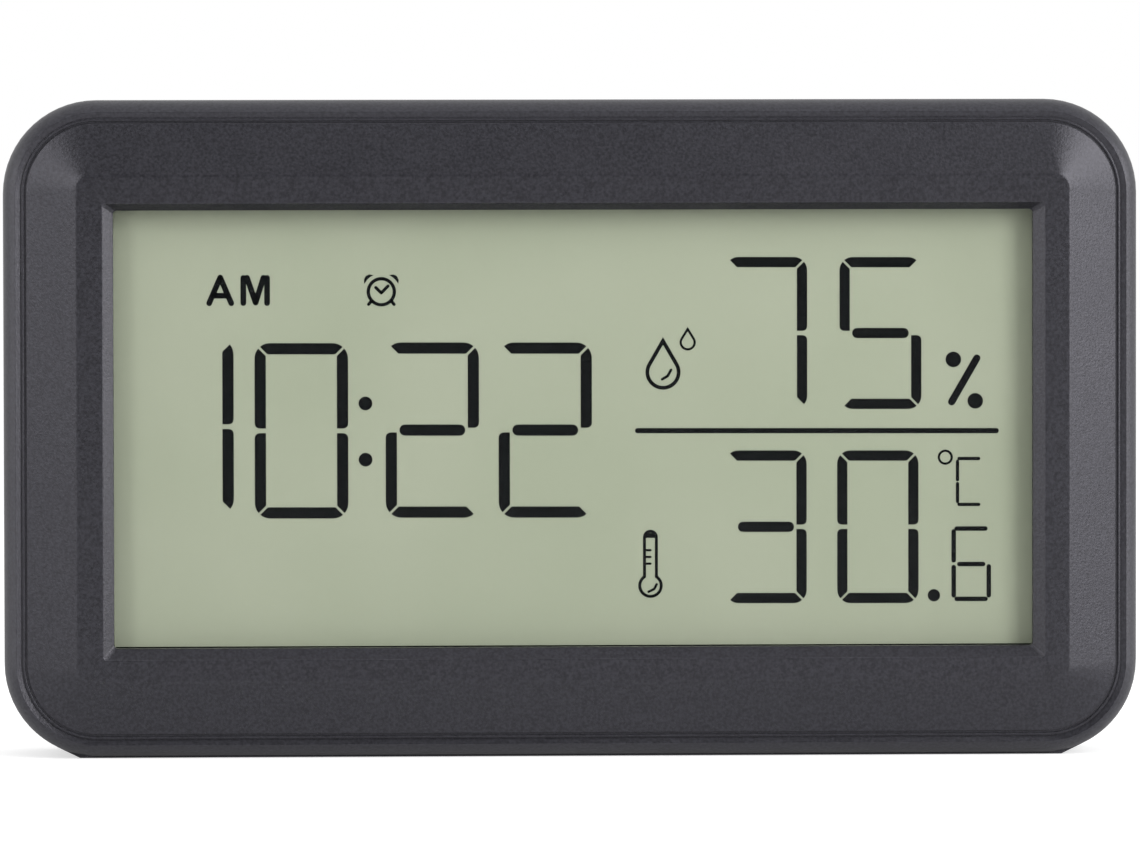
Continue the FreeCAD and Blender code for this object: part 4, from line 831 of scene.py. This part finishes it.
# letters of the half-day mark
add_bars(LETTER_STROKE, (
    (-43.1, 14.74, -41.78, 17.80), (-41.78, 17.80, -40.47, 14.74),
    (-42.4, 15.64, -41.15, 15.64), (-39.04, 17.76, -39.04, 14.76),
    (-38.6, 17.78, -37.58, 14.82), (-36.65, 17.78, -37.58, 14.82),
    (-36.22, 17.76, -36.22, 14.76),
))

# bell clock: ring, two hands, two feet and two bells
add_plate(dot(BELL_CLOCK, 1.75, 40), dot(BELL_CLOCK, 1.35, 40))
add_bars(0.38, (
    (-23.3, 16.62, -22.65, 15.98), (-22.65, 15.98, -21.84, 16.80),
    (-23.78, 15.06, -24.16, 14.62), (-21.5, 15.06, -21.12, 14.62),
))
for side in (1, -1):
    add_plate([(BELL_CLOCK[0] + side * x, BELL_CLOCK[1] + rise) for x, rise in BELL])


def drop(tip_rise, centre, radius, steps=30):
    """Outline of a drop: a pointed top whose straight sides touch a circle."""
    lean = math.degrees(math.acos(radius / (tip_rise - centre[1])))
    return [(centre[0], tip_rise)] + arc(centre, radius, 90 + lean, 450 - lean, steps)


for middle, outer, inner in (
    ((10.89, 6.56), (10.74, 2.09), (9.82, 1.64)), ((13.84, 10.11), (11.96, 0.97), (11.42, 0.69)),
):
    add_plate(*(drop(tip_rise, middle, radius) for tip_rise, radius in (outer, inner)))
add_bars(0.32, ((11.85, 6.83, 11.45, 6.1), (11.45, 6.1, 10.79, 5.72)))

# percent sign, divider, degree sign and unit
add_bars(0.87, ((48.38, 8.25, 45.37, 3.03),))
for middle in ((45.57, 8.09), (48.19, 3.15)):
    add_plate(dot(middle, 0.93))
add_bars(0.62, ((7.84, -0.41, 50.7, -0.41),))
add_plate(dot((44.6, -3.58), 0.91), dot((44.6, -3.58), 0.63))
add_bars(0.4, (
    (46.06, -4.08, 46.06, -6.26), (46.06, -6.74, 46.06, -8.88),
    (46.24, -3.74, 48.6, -3.74), (46.24, -9.22, 48.6, -9.22),
))

# tenths figure, in a thinner style with round ends
add_bars(0.54, (
    (45.95, -12.1, 49.4, -12.1), (45.6, -12.43, 45.6, -15.9), (46.27, -16.34, 49.12, -16.34),
    (45.6, -16.7, 45.6, -20.08), (45.95, -20.5, 49.42, -20.5), (49.8, -16.62, 49.8, -20.08),
))
print("faces of the marks so far:", len(marks.faces))

# %% [markdown]
# The thermometer is a tube that runs into a bulb, with a filled tip and three short lines of a
# scale. After it comes a dark strip below the display, painted shade under the frame's lower edge,
# and then all marks become one piece.

# %% Thermometer mark and the finished marks
BULB = (9.36, -18.89)
BULB_RADIUS = 1.466
TUBE_HALF_WIDTH = 0.89
TUBE_TOP = -12.22
TUBE_LINE = 0.36
TUBE_TIP = (
    (0.55, -12.92), (0.55, -13.2), (-0.55, -13.2), (-0.55, -12.92), (-0.3, -12.62), (0.3, -12.62),
)
SHADE_STRIP_HALF_WIDTH = 56.0
SHADE_STRIP_TOP = -25.98
SHADE_STRIP_BOTTOM = -28.8


def thermometer_outline(inset):
    """Outline of a tube that runs into a bulb, drawn a distance inside the outer one."""
    half, bulb = TUBE_HALF_WIDTH - inset, BULB_RADIUS - inset
    lean = math.degrees(math.asin(half / bulb))
    crown = (BULB[0], TUBE_TOP - TUBE_HALF_WIDTH)
    return arc(crown, half, 0, 180, 12) + arc(BULB, bulb, 90 + lean, 450 - lean, 22)


add_plate(thermometer_outline(0.0), thermometer_outline(TUBE_LINE))
add_plate([(BULB[0] + x, rise) for x, rise in TUBE_TIP])
add_bars(0.28, ((8.9, rise, BULB[0], rise) for rise in (-14.66, -15.47, -16.27)))
add_bars(0.3, ((10.1, -18.73, 9.8, -19.3), (9.8, -19.3, 9.13, -19.62)))

# painted shade: a dark strip that stands for the shadow under the frame's lower edge and hides the
# contact ledge, level with the window and not with the marks
add_plate([
    (x, rise + MARK_SLOPE * (x - MARK_LEVEL_X)) for x, rise in (
        (-SHADE_STRIP_HALF_WIDTH, SHADE_STRIP_BOTTOM), (SHADE_STRIP_HALF_WIDTH, SHADE_STRIP_BOTTOM),
        (SHADE_STRIP_HALF_WIDTH, SHADE_STRIP_TOP), (-SHADE_STRIP_HALF_WIDTH, SHADE_STRIP_TOP),
    )
])

# dark ink for the display marks, which also paints the strip of shade below the display
display_ink_and_shade, tree, shader = new_finish("display_ink_and_shade", 0.5)
set_inputs(
    tree, shader, Specular_IOR_Level=0.1,
    Base_Color=two_tones(tree, noise(tree, 3.0), (1, 3, 5), (3, 5, 8)),
)
display_marks_and_shade = add_shape(
    "display_marks_and_shade", marks, "housing", display_ink_and_shade, flat=True
)
print("marks:", len(display_marks_and_shade.data.polygons), "faces")

# %% [markdown]
# ## Helpers for Geometry Nodes
# Screws and springs repeat, or follow a path, so node trees make them. A tree is built here in the
# script with a named input for each size. The first helper starts a tree, and the last puts it on
# an object, sets its inputs and keeps the result as a plain mesh.

# %% Geometry Nodes helpers
UNION = {"operation": "UNION", "solver": "EXACT"}
DIFFERENCE = {"operation": "DIFFERENCE", "solver": "EXACT"}


def start_tree(name, sizes):
    """New geometry tree with a named input for each size. Returns it and the wires at its ends."""
    tree = bpy.data.node_groups.new(name, "GeometryNodeTree")
    tree.interface.new_socket("Geometry", in_out="INPUT", socket_type="NodeSocketGeometry")
    for label, kind in sizes.items():
        tree.interface.new_socket(label, in_out="INPUT", socket_type="NodeSocket" + kind)
    tree.interface.new_socket("Geometry", in_out="OUTPUT", socket_type="NodeSocketGeometry")
    return tree, tree.nodes.new("NodeGroupInput").outputs, tree.nodes.new("NodeGroupOutput").inputs


def grow(tree, kind, settings=None, **wires):
    """Geometry node of a kind."""
    return add_node(tree, "GeometryNode" + kind, settings, **wires)


def times(tree, size, factor):
    """A size multiplied by a factor."""
    return combined(tree, "MULTIPLY", size, factor)


def raised(tree, solid, height, turn=0.0):
    """Solid moved up by a height, and turned round the upright."""
    up = add_node(tree, "ShaderNodeCombineXYZ", Z=height)
    return grow(tree, "Transform", Geometry=solid, Translation=up, Rotation=(0.0, 0.0, turn))


def finish_tree(tree, given, result, material, **instance):
    """End of every tree: an instance at each point becomes real geometry with its material."""
    spots = grow(tree, "InstanceOnPoints", Points=given["Geometry"], **instance)
    real = grow(tree, "RealizeInstances", Geometry=spots)
    painted = grow(tree, "SetMaterial", Geometry=real, Material=material)
    tree.links.new(painted, result["Geometry"])
    print("nodes in the tree", tree.name + ":", len(tree.nodes))


def grown(name, tree, places, values):
    """Mesh that a tree grows from a set of points, with the tree's inputs set by identifier."""
    seed = bpy.data.meshes.new(name + "_places")
    seed.from_pydata([tuple(point) for point in places], [], [])
    carrier = bpy.data.objects.new(name + "_places", seed)
    bpy.context.scene.collection.objects.link(carrier)
    modifier = carrier.modifiers.new(name, "NODES")
    modifier.node_group = tree
    for item in tree.interface.items_tree:
        if item.in_out == "INPUT" and item.name in values:
            modifier[item.identifier] = values[item.name]
    bpy.context.view_layer.update()
    evaluated = carrier.evaluated_get(bpy.context.evaluated_depsgraph_get())
    mesh = bpy.data.meshes.new_from_object(evaluated)
    bpy.data.objects.remove(carrier)
    mesh.name = name
    return mesh


print("tree helpers ready")

# %% [markdown]
# ## Screws
# Twelve small screws hold the clock together: four through the back, four for the display tray and
# four for the board. They differ only in size, so one tree draws a screw from cylinders and cones,
# cuts a cross into its head, and sets one at every point, each turned by a different angle.

# %% Screw tree
HEAD_SIDES, SHANK_SIDES = 28, 20
CROWN_SHARE = 0.66
# the cross: length and width as shares of the head's radius, height as a share of its height
CROSS_LENGTH_SHARE, CROSS_WIDTH_SHARE, CROSS_HEIGHT_SHARE = 1.15, 0.26, 1.1
# a little less than half, so that the shank starts inside the head
SHANK_DROP_SHARE = 0.499
screw_steel = metal("screw_steel", (112, 113, 117), (164, 165, 170), 0.34, 0.15)
tree, given, result = start_tree("cross_head_screw", {
    "Head Radius": "Float", "Head Height": "Float",
    "Shank Radius": "Float", "Shank Length": "Float",
})
screw_tree = tree
radius, height, length = given["Head Radius"], given["Head Height"], given["Shank Length"]
half = times(tree, height, 0.5)
rim = grow(tree, "MeshCylinder", Vertices=HEAD_SIDES, Radius=radius, Depth=half)
crown = grow(
    tree, "MeshCone", Vertices=HEAD_SIDES, Radius_Top=times(tree, radius, CROWN_SHARE),
    Radius_Bottom=radius, Depth=half,
)
shank = grow(
    tree, "MeshCylinder", Vertices=SHANK_SIDES, Radius=given["Shank Radius"], Depth=length
)
whole = grow(tree, "MeshBoolean", UNION, Mesh_2=[
    raised(tree, rim, times(tree, height, 0.25)), raised(tree, crown, half),
    raised(tree, shank, times(tree, length, -SHANK_DROP_SHARE)),
])
arm = grow(tree, "MeshCube", Size=add_node(
    tree, "ShaderNodeCombineXYZ", X=times(tree, radius, CROSS_LENGTH_SHARE),
    Y=times(tree, radius, CROSS_WIDTH_SHARE), Z=times(tree, height, CROSS_HEIGHT_SHARE),
))
cut = grow(
    tree, "MeshBoolean", DIFFERENCE, Mesh_1=whole,
    Mesh_2=[raised(tree, arm, height, turn) for turn in (0.0, math.pi / 2)],
)
any_turn = add_node(
    tree, "FunctionNodeRandomValue", {"data_type": "FLOAT_VECTOR"}, Seed=7,
    Min=(-math.pi / 2, 0.0, 0.0), Max=(-math.pi / 2, math.pi / 2, 0.0),
)
finish_tree(tree, given, result, screw_steel, Instance=cut, Rotation=any_turn)

# %% [markdown]
# The case and tray screws stand where the posts of the front frame are. How far the drawn screws
# lie off those of the frame is measured and printed.

# %% Screws in their places
BOARD_HOLES = (-26.0, 52.0, -20.0, 18.5)
# places, depth that the heads rest on, head radius, head height, shank radius, shank length
screw_sets = {
    "case_screws": (CASE_POSTS, 17.0, 2.3, 1.5, 1.1, 10.0),
    "frame_screws": (TRAY_POSTS, 8.3, 1.6, 1.0, 0.8, 3.6),
    "board_screws": (BOARD_HOLES, 9.6, 1.6, 1.0, 0.8, 3.1),
}
for node, (spots, seat, radius, height, shank_radius, shank_length) in screw_sets.items():
    places = [place(x, seat, rise) for x, rise in four_places(*spots)]
    mesh = grown(node + "_crossed", screw_tree, places, {
        "Head Radius": radius * MM, "Head Height": height * MM,
        "Shank Radius": shank_radius * MM, "Shank Length": shank_length * MM,
    })
    screws = add_piece(
        node + "_crossed", mesh, "housing", screw_steel, [node]
    )
    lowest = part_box(node)[0]
    gap = max(
        abs(min(corner[axis] for corner in screws.bound_box) - lowest[axis]) for axis in range(3)
    )
    print(node, "faces:", len(mesh.polygons), "off the frame by mm:", round(gap / MM, 2))

# %% [markdown]
# ## Contact springs
# Each cell's minus end presses on a conical spring. A spiral is such a rule: a start radius, an
# end radius, a height and a number of turns. A round profile swept along it is the wire.

# %% Spring tree
SPIRAL_STEPS, WIRE_SIDES = 28, 12
contact_metal = metal("contact_metal", (168, 165, 155), (216, 213, 204), 0.26, 0.25)
tree, given, result = start_tree("contact_spring", {
    "Base Radius": "Float", "Top Radius": "Float", "Climb": "Float", "Turns": "Float",
    "Wire Radius": "Float", "Tilt": "Vector",
})
spring_tree = tree
spiral = grow(
    tree, "CurveSpiral", Resolution=SPIRAL_STEPS, Rotations=given["Turns"],
    Start_Radius=given["Base Radius"], End_Radius=given["Top Radius"], Height=given["Climb"],
)
round_wire = grow(
    tree, "CurvePrimitiveCircle", Resolution=WIRE_SIDES, Radius=given["Wire Radius"]
)
swept = grow(tree, "CurveToMesh", Curve=spiral, Profile_Curve=round_wire, Fill_Caps=True)
finish_tree(tree, given, result, contact_metal, Instance=swept, Rotation=given["Tilt"])

# %% [markdown]
# The cells lie side by side and point opposite ways, so one spring stands at the lower end of the
# bay and the other hangs from its upper end, turned over.

# %% Springs in their places
CELL_X = (-48.6, -37.4)
CELL_DEPTH = 16.65
SPRING_ROOM = 24.7
WIRE_RADIUS = 0.3
spring_shapes = []
for x, side, tilt in zip(CELL_X, (-1, 1), (0.0, math.pi)):
    start = place(x, CELL_DEPTH, side * (SPRING_ROOM - WIRE_RADIUS))
    mesh = grown("contact_spring", spring_tree, [start], {
        "Base Radius": 3.4 * MM, "Top Radius": 2.6 * MM, "Climb": 4.3 * MM, "Turns": 2.5,
        "Wire Radius": WIRE_RADIUS * MM, "Tilt": (tilt, 0.0, 0.0),
    })
    shape = bmesh.new()
    shape.from_mesh(mesh)
    spring_shapes.append(shape)
springs = add_shape(
    "contact_springs", joined(spring_shapes), "housing", contact_metal,
    ["battery_springs"],
)
print("spring faces:", len(springs.data.polygons))

# %% [markdown]
# ## Grip ridges
# A thumb needs something to push on, so the battery door and the free end of the stand leg carry a
# few low ridges. Each ridge is a bar with round ends, and one tree repeats it upwards at an even
# spacing. The bars sit half inside the face that they are moulded on.

# %% Ridge tree
RIDGE_SIDES, END_RINGS = 20, 10
ROUND_END_SHARE = 0.97
tree, given, result = start_tree("grip_ridges", {
    "Count": "Int", "Spacing": "Float", "Length": "Float", "Radius": "Float",
})
ridge_tree = tree
line = grow(
    tree, "MeshLine", {"mode": "OFFSET"}, Count=given["Count"],
    Offset=add_node(tree, "ShaderNodeCombineXYZ", Z=given["Spacing"]),
)
ridge = grow(
    tree, "MeshCylinder", Vertices=RIDGE_SIDES, Radius=given["Radius"], Depth=given["Length"]
)
end = grow(
    tree, "MeshUVSphere", Segments=RIDGE_SIDES, Rings=END_RINGS,
    Radius=times(tree, given["Radius"], ROUND_END_SHARE),
)
whole = grow(tree, "MeshBoolean", UNION, Mesh_2=[ridge] + [
    raised(tree, end, times(tree, given["Length"], side)) for side in (-0.5, 0.5)
])
across = grow(tree, "Transform", Geometry=whole, Rotation=(0.0, math.pi / 2, 0.0))
stack = grow(tree, "InstanceOnPoints", Points=line, Instance=across)
finish_tree(tree, given, result, case_plastic, Instance=stack)

# %% [markdown]
# The door gets six ridges low on its face. The stand leg gets four wider ones at its free end.

# %% Ridges on the door and the stand leg
DOOR_X = -43.0
DOOR_FACE = 24.0
LEG_FACE = 23.8
RIDGE_RADIUS = 0.5
RIDGE_SPACING = 1.7
RIDGE_SINK = 0.1
for name, body, x, face, lowest_rise, count, length in (
    ("door_ridges", "door", DOOR_X, DOOR_FACE, -22.6, 6, 13.0),
    ("leg_ridges", "stand", 0.0, LEG_FACE, -27.0, 4, 16.0),
):
    mesh = grown(name, ridge_tree, [place(x, face - RIDGE_SINK, lowest_rise)], {
        "Count": count, "Spacing": RIDGE_SPACING * MM, "Length": length * MM,
        "Radius": RIDGE_RADIUS * MM,
    })
    mesh.shade_smooth()
    add_piece(name, mesh, body, case_plastic)
    print(name, "faces:", len(mesh.polygons))

# %% [markdown]
# ## Raised symbols
# The buttons are known by small raised symbols beside them, painted pale grey: arrows for down and
# up, a bell clock for the alarm and three bars for the mode. An unpainted arrow on the door points
# down, to where it opens. All are plates with sloped sides, as a mould needs.

# %% Symbols moulded on the back
BACK_FACE = 24.0
SYMBOL_HEIGHT = 0.25
SYMBOL_SINK = 0.1
SYMBOL_X = 24.4
SYMBOL_SLOPES = (0.96, 1.04)
ARROW_FOOT_SHARE = 0.6


def drawn_in(loop, share):
    """Loop drawn in to its own middle by a share, or out from it."""
    middle_x = sum(x for x, _ in loop) / len(loop)
    middle_rise = sum(rise for _, rise in loop) / len(loop)
    return [
        (middle_x + (x - middle_x) * share, middle_rise + (rise - middle_rise) * share)
        for x, rise in loop
    ]


def raised_plate(face, *loops):
    """Plate or ring that stands proud of a face at the back, with slightly sloped sides."""
    shape = bmesh.new()
    crests = [drawn_in(loop, share) for loop, share in zip(loops, SYMBOL_SLOPES)]
    plate(shape, *(
        [[place(x, depth, rise) for x, rise in loop] for loop in level]
        for level, depth in ((loops, face - SYMBOL_SINK), (crests, face + SYMBOL_HEIGHT))
    ))
    return shape


def arrow_head(x, rise, size):
    """Triangle that points up, or down for a negative size."""
    foot = rise - size * ARROW_FOOT_SHARE
    return [(x - abs(size), foot), (x + abs(size), foot), (x, rise + size)]


symbol_paint = plastic("symbol_paint", (142, 143, 146), (158, 159, 162), 0.45, 0.3, 0.004)
alarm_middle = (SYMBOL_X, BUTTON_RISES["alarm"])
# x from the middle and rise, at the start and the end of each stroke, and its width
strokes = [(0.0, 5.75, 0.0, 6.5, 0.3), (-1.75, 7.0, -0.95, 7.65, 0.4), (0.95, 7.65, 1.75, 7.0, 0.4)]
for rise in (BUTTON_RISES["mode"] + step for step in (-1.05, 0.0, 1.05)):
    strokes.append((-1.4, rise, 1.4, rise, 0.42))
symbols = [
    raised_plate(BACK_FACE, arrow_head(SYMBOL_X, BUTTON_RISES["down"], -1.3)),
    raised_plate(BACK_FACE, arrow_head(SYMBOL_X, BUTTON_RISES["up"], 1.3)),
    raised_plate(BACK_FACE, dot(alarm_middle, 1.5), dot(alarm_middle, 1.15)),
] + [
    raised_plate(BACK_FACE, bar((SYMBOL_X + x, rise), (SYMBOL_X + end_x, end_rise), width))
    for x, rise, end_x, end_rise, width in strokes
]
print("symbols on the back:", len(symbols))
add_shape(
    "back_symbols", joined(symbols), "housing", symbol_paint, flat=True
)
add_shape(
    "door_arrow", raised_plate(DOOR_FACE, arrow_head(DOOR_X, -10.2, -1.7)), "door",
    case_plastic, flat=True,
)

# %% [markdown]
# ## Cells
# The two cells are turned shapes: a can with a rounded shoulder, a flat minus end and a raised
# plus button. Each is one piece, and its colour follows its own length: a dark sleeve, a copper
# band near the plus end and bare metal at both ends, with nothing printed on it.

# %% Cell finish
CELL_LENGTH = 43.5
# where each band starts, as a share of the length, its colour, and white where it is bare metal
CELL_BANDS = (
    (0.0, (186, 186, 188), WHITE), (0.018, (30, 32, 36), BLACK), (0.70, (196, 132, 74), WHITE),
    (0.965, (30, 32, 36), BLACK), (0.985, (192, 192, 194), WHITE),
)


def banded(tree, factor, colours):
    """Colour that changes where each band of the cell starts."""
    colour = add_node(tree, "ShaderNodeValToRGB", Fac=factor)
    ramp = colour.node.color_ramp
    ramp.interpolation = "CONSTANT"
    while len(ramp.elements) < len(CELL_BANDS):
        ramp.elements.new(0.5)
    for element, band, tone in zip(ramp.elements, CELL_BANDS, colours):
        element.position, element.color = band[0], tone
    return colour


def cell_finish(name, minus_z, direction):
    """Sleeve, band and bare ends, by height along the cell from its minus end."""
    material, tree, shader = new_finish(name, 0.3)
    split = add_node(tree, "ShaderNodeSeparateXYZ", Vector=object_point(tree)).node
    along = add_node(
        tree, "ShaderNodeMapRange", Value=split.outputs["Z"], From_Min=minus_z,
        From_Max=minus_z + direction * CELL_LENGTH * MM,
    )
    scuffs = noise(tree, 1.2, 3.0)
    set_inputs(
        tree, shader,
        Base_Color=banded(tree, along, [srgb(*band[1]) for band in CELL_BANDS]),
        Metallic=banded(tree, along, [band[2] for band in CELL_BANDS]),
        Roughness=spread(tree, scuffs, 0.2, 0.42), Normal=bump(tree, scuffs, 0.01),
    )
    return material


print("bands along a cell:", len(CELL_BANDS))

# %% [markdown]
# Each cell is turned round an upright line. The left one has its minus end down and the right one
# has it up, and both start from where the frame's own cell ends.

# %% Cells in the bay
CELL_STEPS = 40
# radius, and height above the minus end
CELL_PROFILE = (
    (0, 0.0), (3.9, 0.0), (3.95, 0.12), (4.85, 0.12), (5.1, 0.2), (5.22, 0.38), (5.25, 0.7),
    (5.25, 42.7), (5.22, 43.05), (5.08, 43.3), (4.85, 43.4), (3.2, 43.4), (3.1, 43.3),
    (1.95, 43.3), (1.9, 43.5), (1.88, 44.3), (1.75, 44.46), (0, 44.5),
)
for name, x, direction in (("left", CELL_X[0], 1), ("right", CELL_X[1], -1)):
    lowest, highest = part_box("battery_cell_" + name)
    minus = ((lowest if direction > 0 else highest).z - CENTRE_Z) / MM
    shape = turned(
        [(radius, minus + direction * height) for radius, height in CELL_PROFILE],
        lambda across, beside, rise: place(x + across, CELL_DEPTH + beside, rise), CELL_STEPS,
    )
    finish = cell_finish("cell_wrap_" + name, CENTRE_Z + minus * MM, direction)
    cell = add_shape(
        "cell_" + name, shape, "housing", finish, ["battery_cell_" + name]
    )
    cell.modifiers.new("even_shading", "WEIGHTED_NORMAL")
print("cells placed")

# %% [markdown]
# ## Pieces inside
# The board, the tray and what stands on them keep the shapes of the frame, and get finishes of
# their own: green solder mask, dark resin, bright tin, striped rubber.

# %% Finishes for the pieces inside
STRIPE_SCALE, STRIPE_WAVER = 600.0, 0.4


def striped_rubber():
    """Connector strip: thin conducting layers between pale insulating ones, along its length."""
    material, tree, shader = new_finish("strip_rubber", 0.6)
    layers = add_node(
        tree, "ShaderNodeTexWave", {"wave_type": "BANDS", "bands_direction": "X"},
        Vector=object_point(tree), Scale=STRIPE_SCALE, Distortion=STRIPE_WAVER,
    ).node.outputs["Fac"]
    set_inputs(
        tree, shader, Base_Color=two_tones(tree, layers, (34, 34, 36), (196, 168, 172)),
        Normal=bump(tree, layers, 0.02),
    )
    return material


# name, dark tone, light tone, roughness, size of the grain and depth of its relief
INNER_PLASTICS = {
    "lcd_rear_polariser": ("reflector_film", (150, 152, 150), (176, 178, 176), 0.35, 0.5, 0.004),
    "lcd_frame": ("tray_plastic", (20, 20, 22), (30, 30, 33), 0.5, 0.25, 0.01),
    "main_board": ("board_laminate", (16, 62, 36), (24, 82, 46), 0.35, 0.8, 0.006),
    "chip_cover": ("black_resin", (13, 13, 14), (22, 22, 24), 0.22, 1.5, 0.05),
    "board_components": ("component_body", (118, 94, 68), (152, 126, 94), 0.45, 0.3, 0.006),
    "humidity_sensor": ("sensor_plastic", (212, 214, 216), (230, 231, 232), 0.5, 0.2, 0.006),
    "thermistor": ("thermistor_resin", (17, 19, 25), (28, 30, 38), 0.3, 0.3, 0.01),
    "buzzer": ("buzzer_plastic", (15, 15, 16), (24, 24, 26), 0.45, 0.2, 0.006),
    "battery_lead_negative": ("black_lead", (20, 20, 21), (30, 30, 31), 0.45, 0.2, 0.004),
    "battery_lead_positive": ("red_lead", (138, 24, 22), (166, 32, 28), 0.45, 0.2, 0.004),
}
plunger_plastic = plastic("plunger_plastic", (28, 28, 30), (40, 40, 42), 0.45, 0.15, 0.005)
inner_finishes = {node: plastic(*look) for node, look in INNER_PLASTICS.items()}
inner_finishes.update({
    "connector_strip": striped_rubber(),
    "timing_crystal": metal("crystal_metal", (165, 167, 170), (208, 210, 213), 0.25, 0.3),
    "tact_switches": metal("switch_metal", (162, 163, 165), (202, 203, 205), 0.35, 0.3),
    "battery_contacts": contact_metal,
    **{"switch_plunger_" + use: plunger_plastic for use in BUTTON_RISES},
})
for node, finish in inner_finishes.items():
    nodes[node].data.materials.clear()
    nodes[node].data.materials.append(finish)
print("nodes with their own finish:", len(inner_finishes))

# %% [markdown]
# ## Floor
# The clock stands on a pale floor. It glows a little for the camera, so that it reads as white
# paper, while the shadow of the clock still darkens it. Mirror rays see a weaker glow, which keeps
# the underside of the rim dark.

# %% Floor
FLOOR_HALF_SIDE = 3.0
FLOOR_Z = -0.02 * MM
FLOOR_GLOW = 0.55
FLOOR_MIRRORED = 0.2
floor_shape = bmesh.new()
bmesh.ops.create_grid(floor_shape, x_segments=1, y_segments=1, size=FLOOR_HALF_SIDE)
for corner in floor_shape.verts:
    corner.co.z = FLOOR_Z
floor = bpy.data.objects.new("floor", mesh_from("floor", floor_shape))
bpy.context.scene.collection.objects.link(floor)
floor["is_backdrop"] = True

floor_paper, tree, shader = new_finish("floor_paper", 0.8)
rays = add_node(tree, "ShaderNodeLightPath").node.outputs
glow = spread(tree, rays["Is Camera Ray"], 0.0, FLOOR_GLOW)
for kind, level in (("Is Transmission Ray", FLOOR_GLOW), ("Is Glossy Ray", FLOOR_MIRRORED)):
    glow = combined(tree, "MAXIMUM", glow, spread(tree, rays[kind], 0.0, level))
set_inputs(
    tree, shader, Specular_IOR_Level=0.0, Emission_Color=WHITE, Emission_Strength=glow,
    Base_Color=two_tones(tree, noise(tree, 40.0), (214, 214, 214), (222, 222, 222)),
)
floor.data.materials.append(floor_paper)
print("floor ready")

# %% [markdown]
# ## Background
# The camera sees white behind the clock, also through its panes. The plastic is lit by less. What
# it mirrors darkens towards the front, like a room behind the camera, so that it keeps its depth.

# %% Background
WORLD_FILL = 0.66
ROOM_DARKNESS = 0.2
ROOM_START, ROOM_END = -0.45, 0.05
world = bpy.data.worlds.new("studio")
bpy.context.scene.world = world
world.use_nodes = True
tree = world.node_tree
tree.nodes.clear()
direction = add_node(tree, "ShaderNodeTexCoord").node.outputs["Generated"]
split = add_node(tree, "ShaderNodeSeparateXYZ", Vector=direction).node
backdrop = add_node(
    tree, "ShaderNodeMapRange", {"interpolation_type": "SMOOTHSTEP"}, Value=split.outputs["Y"],
    From_Min=ROOM_START, From_Max=ROOM_END, To_Min=ROOM_DARKNESS,
)
rays = add_node(tree, "ShaderNodeLightPath").node.outputs
strength = combined(tree, "MULTIPLY", backdrop, rays["Is Glossy Ray"])
filled = spread(tree, rays["Is Diffuse Ray"], 0.0, WORLD_FILL)
for source in (rays["Is Camera Ray"], rays["Is Transmission Ray"], filled):
    strength = combined(tree, "MAXIMUM", strength, source)
sky = add_node(tree, "ShaderNodeBackground", Color=WHITE, Strength=strength)
add_node(tree, "ShaderNodeOutputWorld", Surface=sky)
print("background ready")

# %% [markdown]
# ## Lamps
# Two soft lamps in front, one at each side, give the face its tone and the bevels their pale lines.
# Two more beside the clock light the rim and the ends, and a weak one above lights the top.

# %% Lamps
LAMP_DISTANCE = 0.9
# turn from the front, rise, width and height of the lamp, power
LAMPS = {
    "left_lamp": (-37.0, 21.0, (0.2, 0.65), 1.95),
    "right_lamp": (37.0, 18.0, (0.38, 0.65), 5.15),
    "left_edge_lamp": (-80.0, 10.0, (0.5, 0.5), 2.0),
    "right_edge_lamp": (80.0, 12.0, (0.5, 0.5), 4.0),
    "top_lamp": (4.0, 55.0, (0.7, 0.3), 1.4),
}
for name, (turn, rise, size, power) in LAMPS.items():
    lamp = bpy.data.lights.new(name, "AREA")
    lamp.shape = "RECTANGLE"
    lamp.size, lamp.size_y = size
    lamp.energy = power
    light = bpy.data.objects.new(name, lamp)
    bpy.context.scene.collection.objects.link(light)
    set_back(light, Vector((0.0, 0.0, CENTRE_Z)), turn, rise, LAMP_DISTANCE)
print("lamps:", len(LAMPS))

# %% [markdown]
# ## Sizes and the end
# The visible clock is meant to keep the engineering model's size. The last lines measure the box
# round every visible piece and print its size.

# %% Measure the visible box and finish
dressed_lowest, dressed_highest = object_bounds()
dressed_size = dressed_highest - dressed_lowest
print("visible size in millimetres:", [round(side / MM, 2) for side in dressed_size])
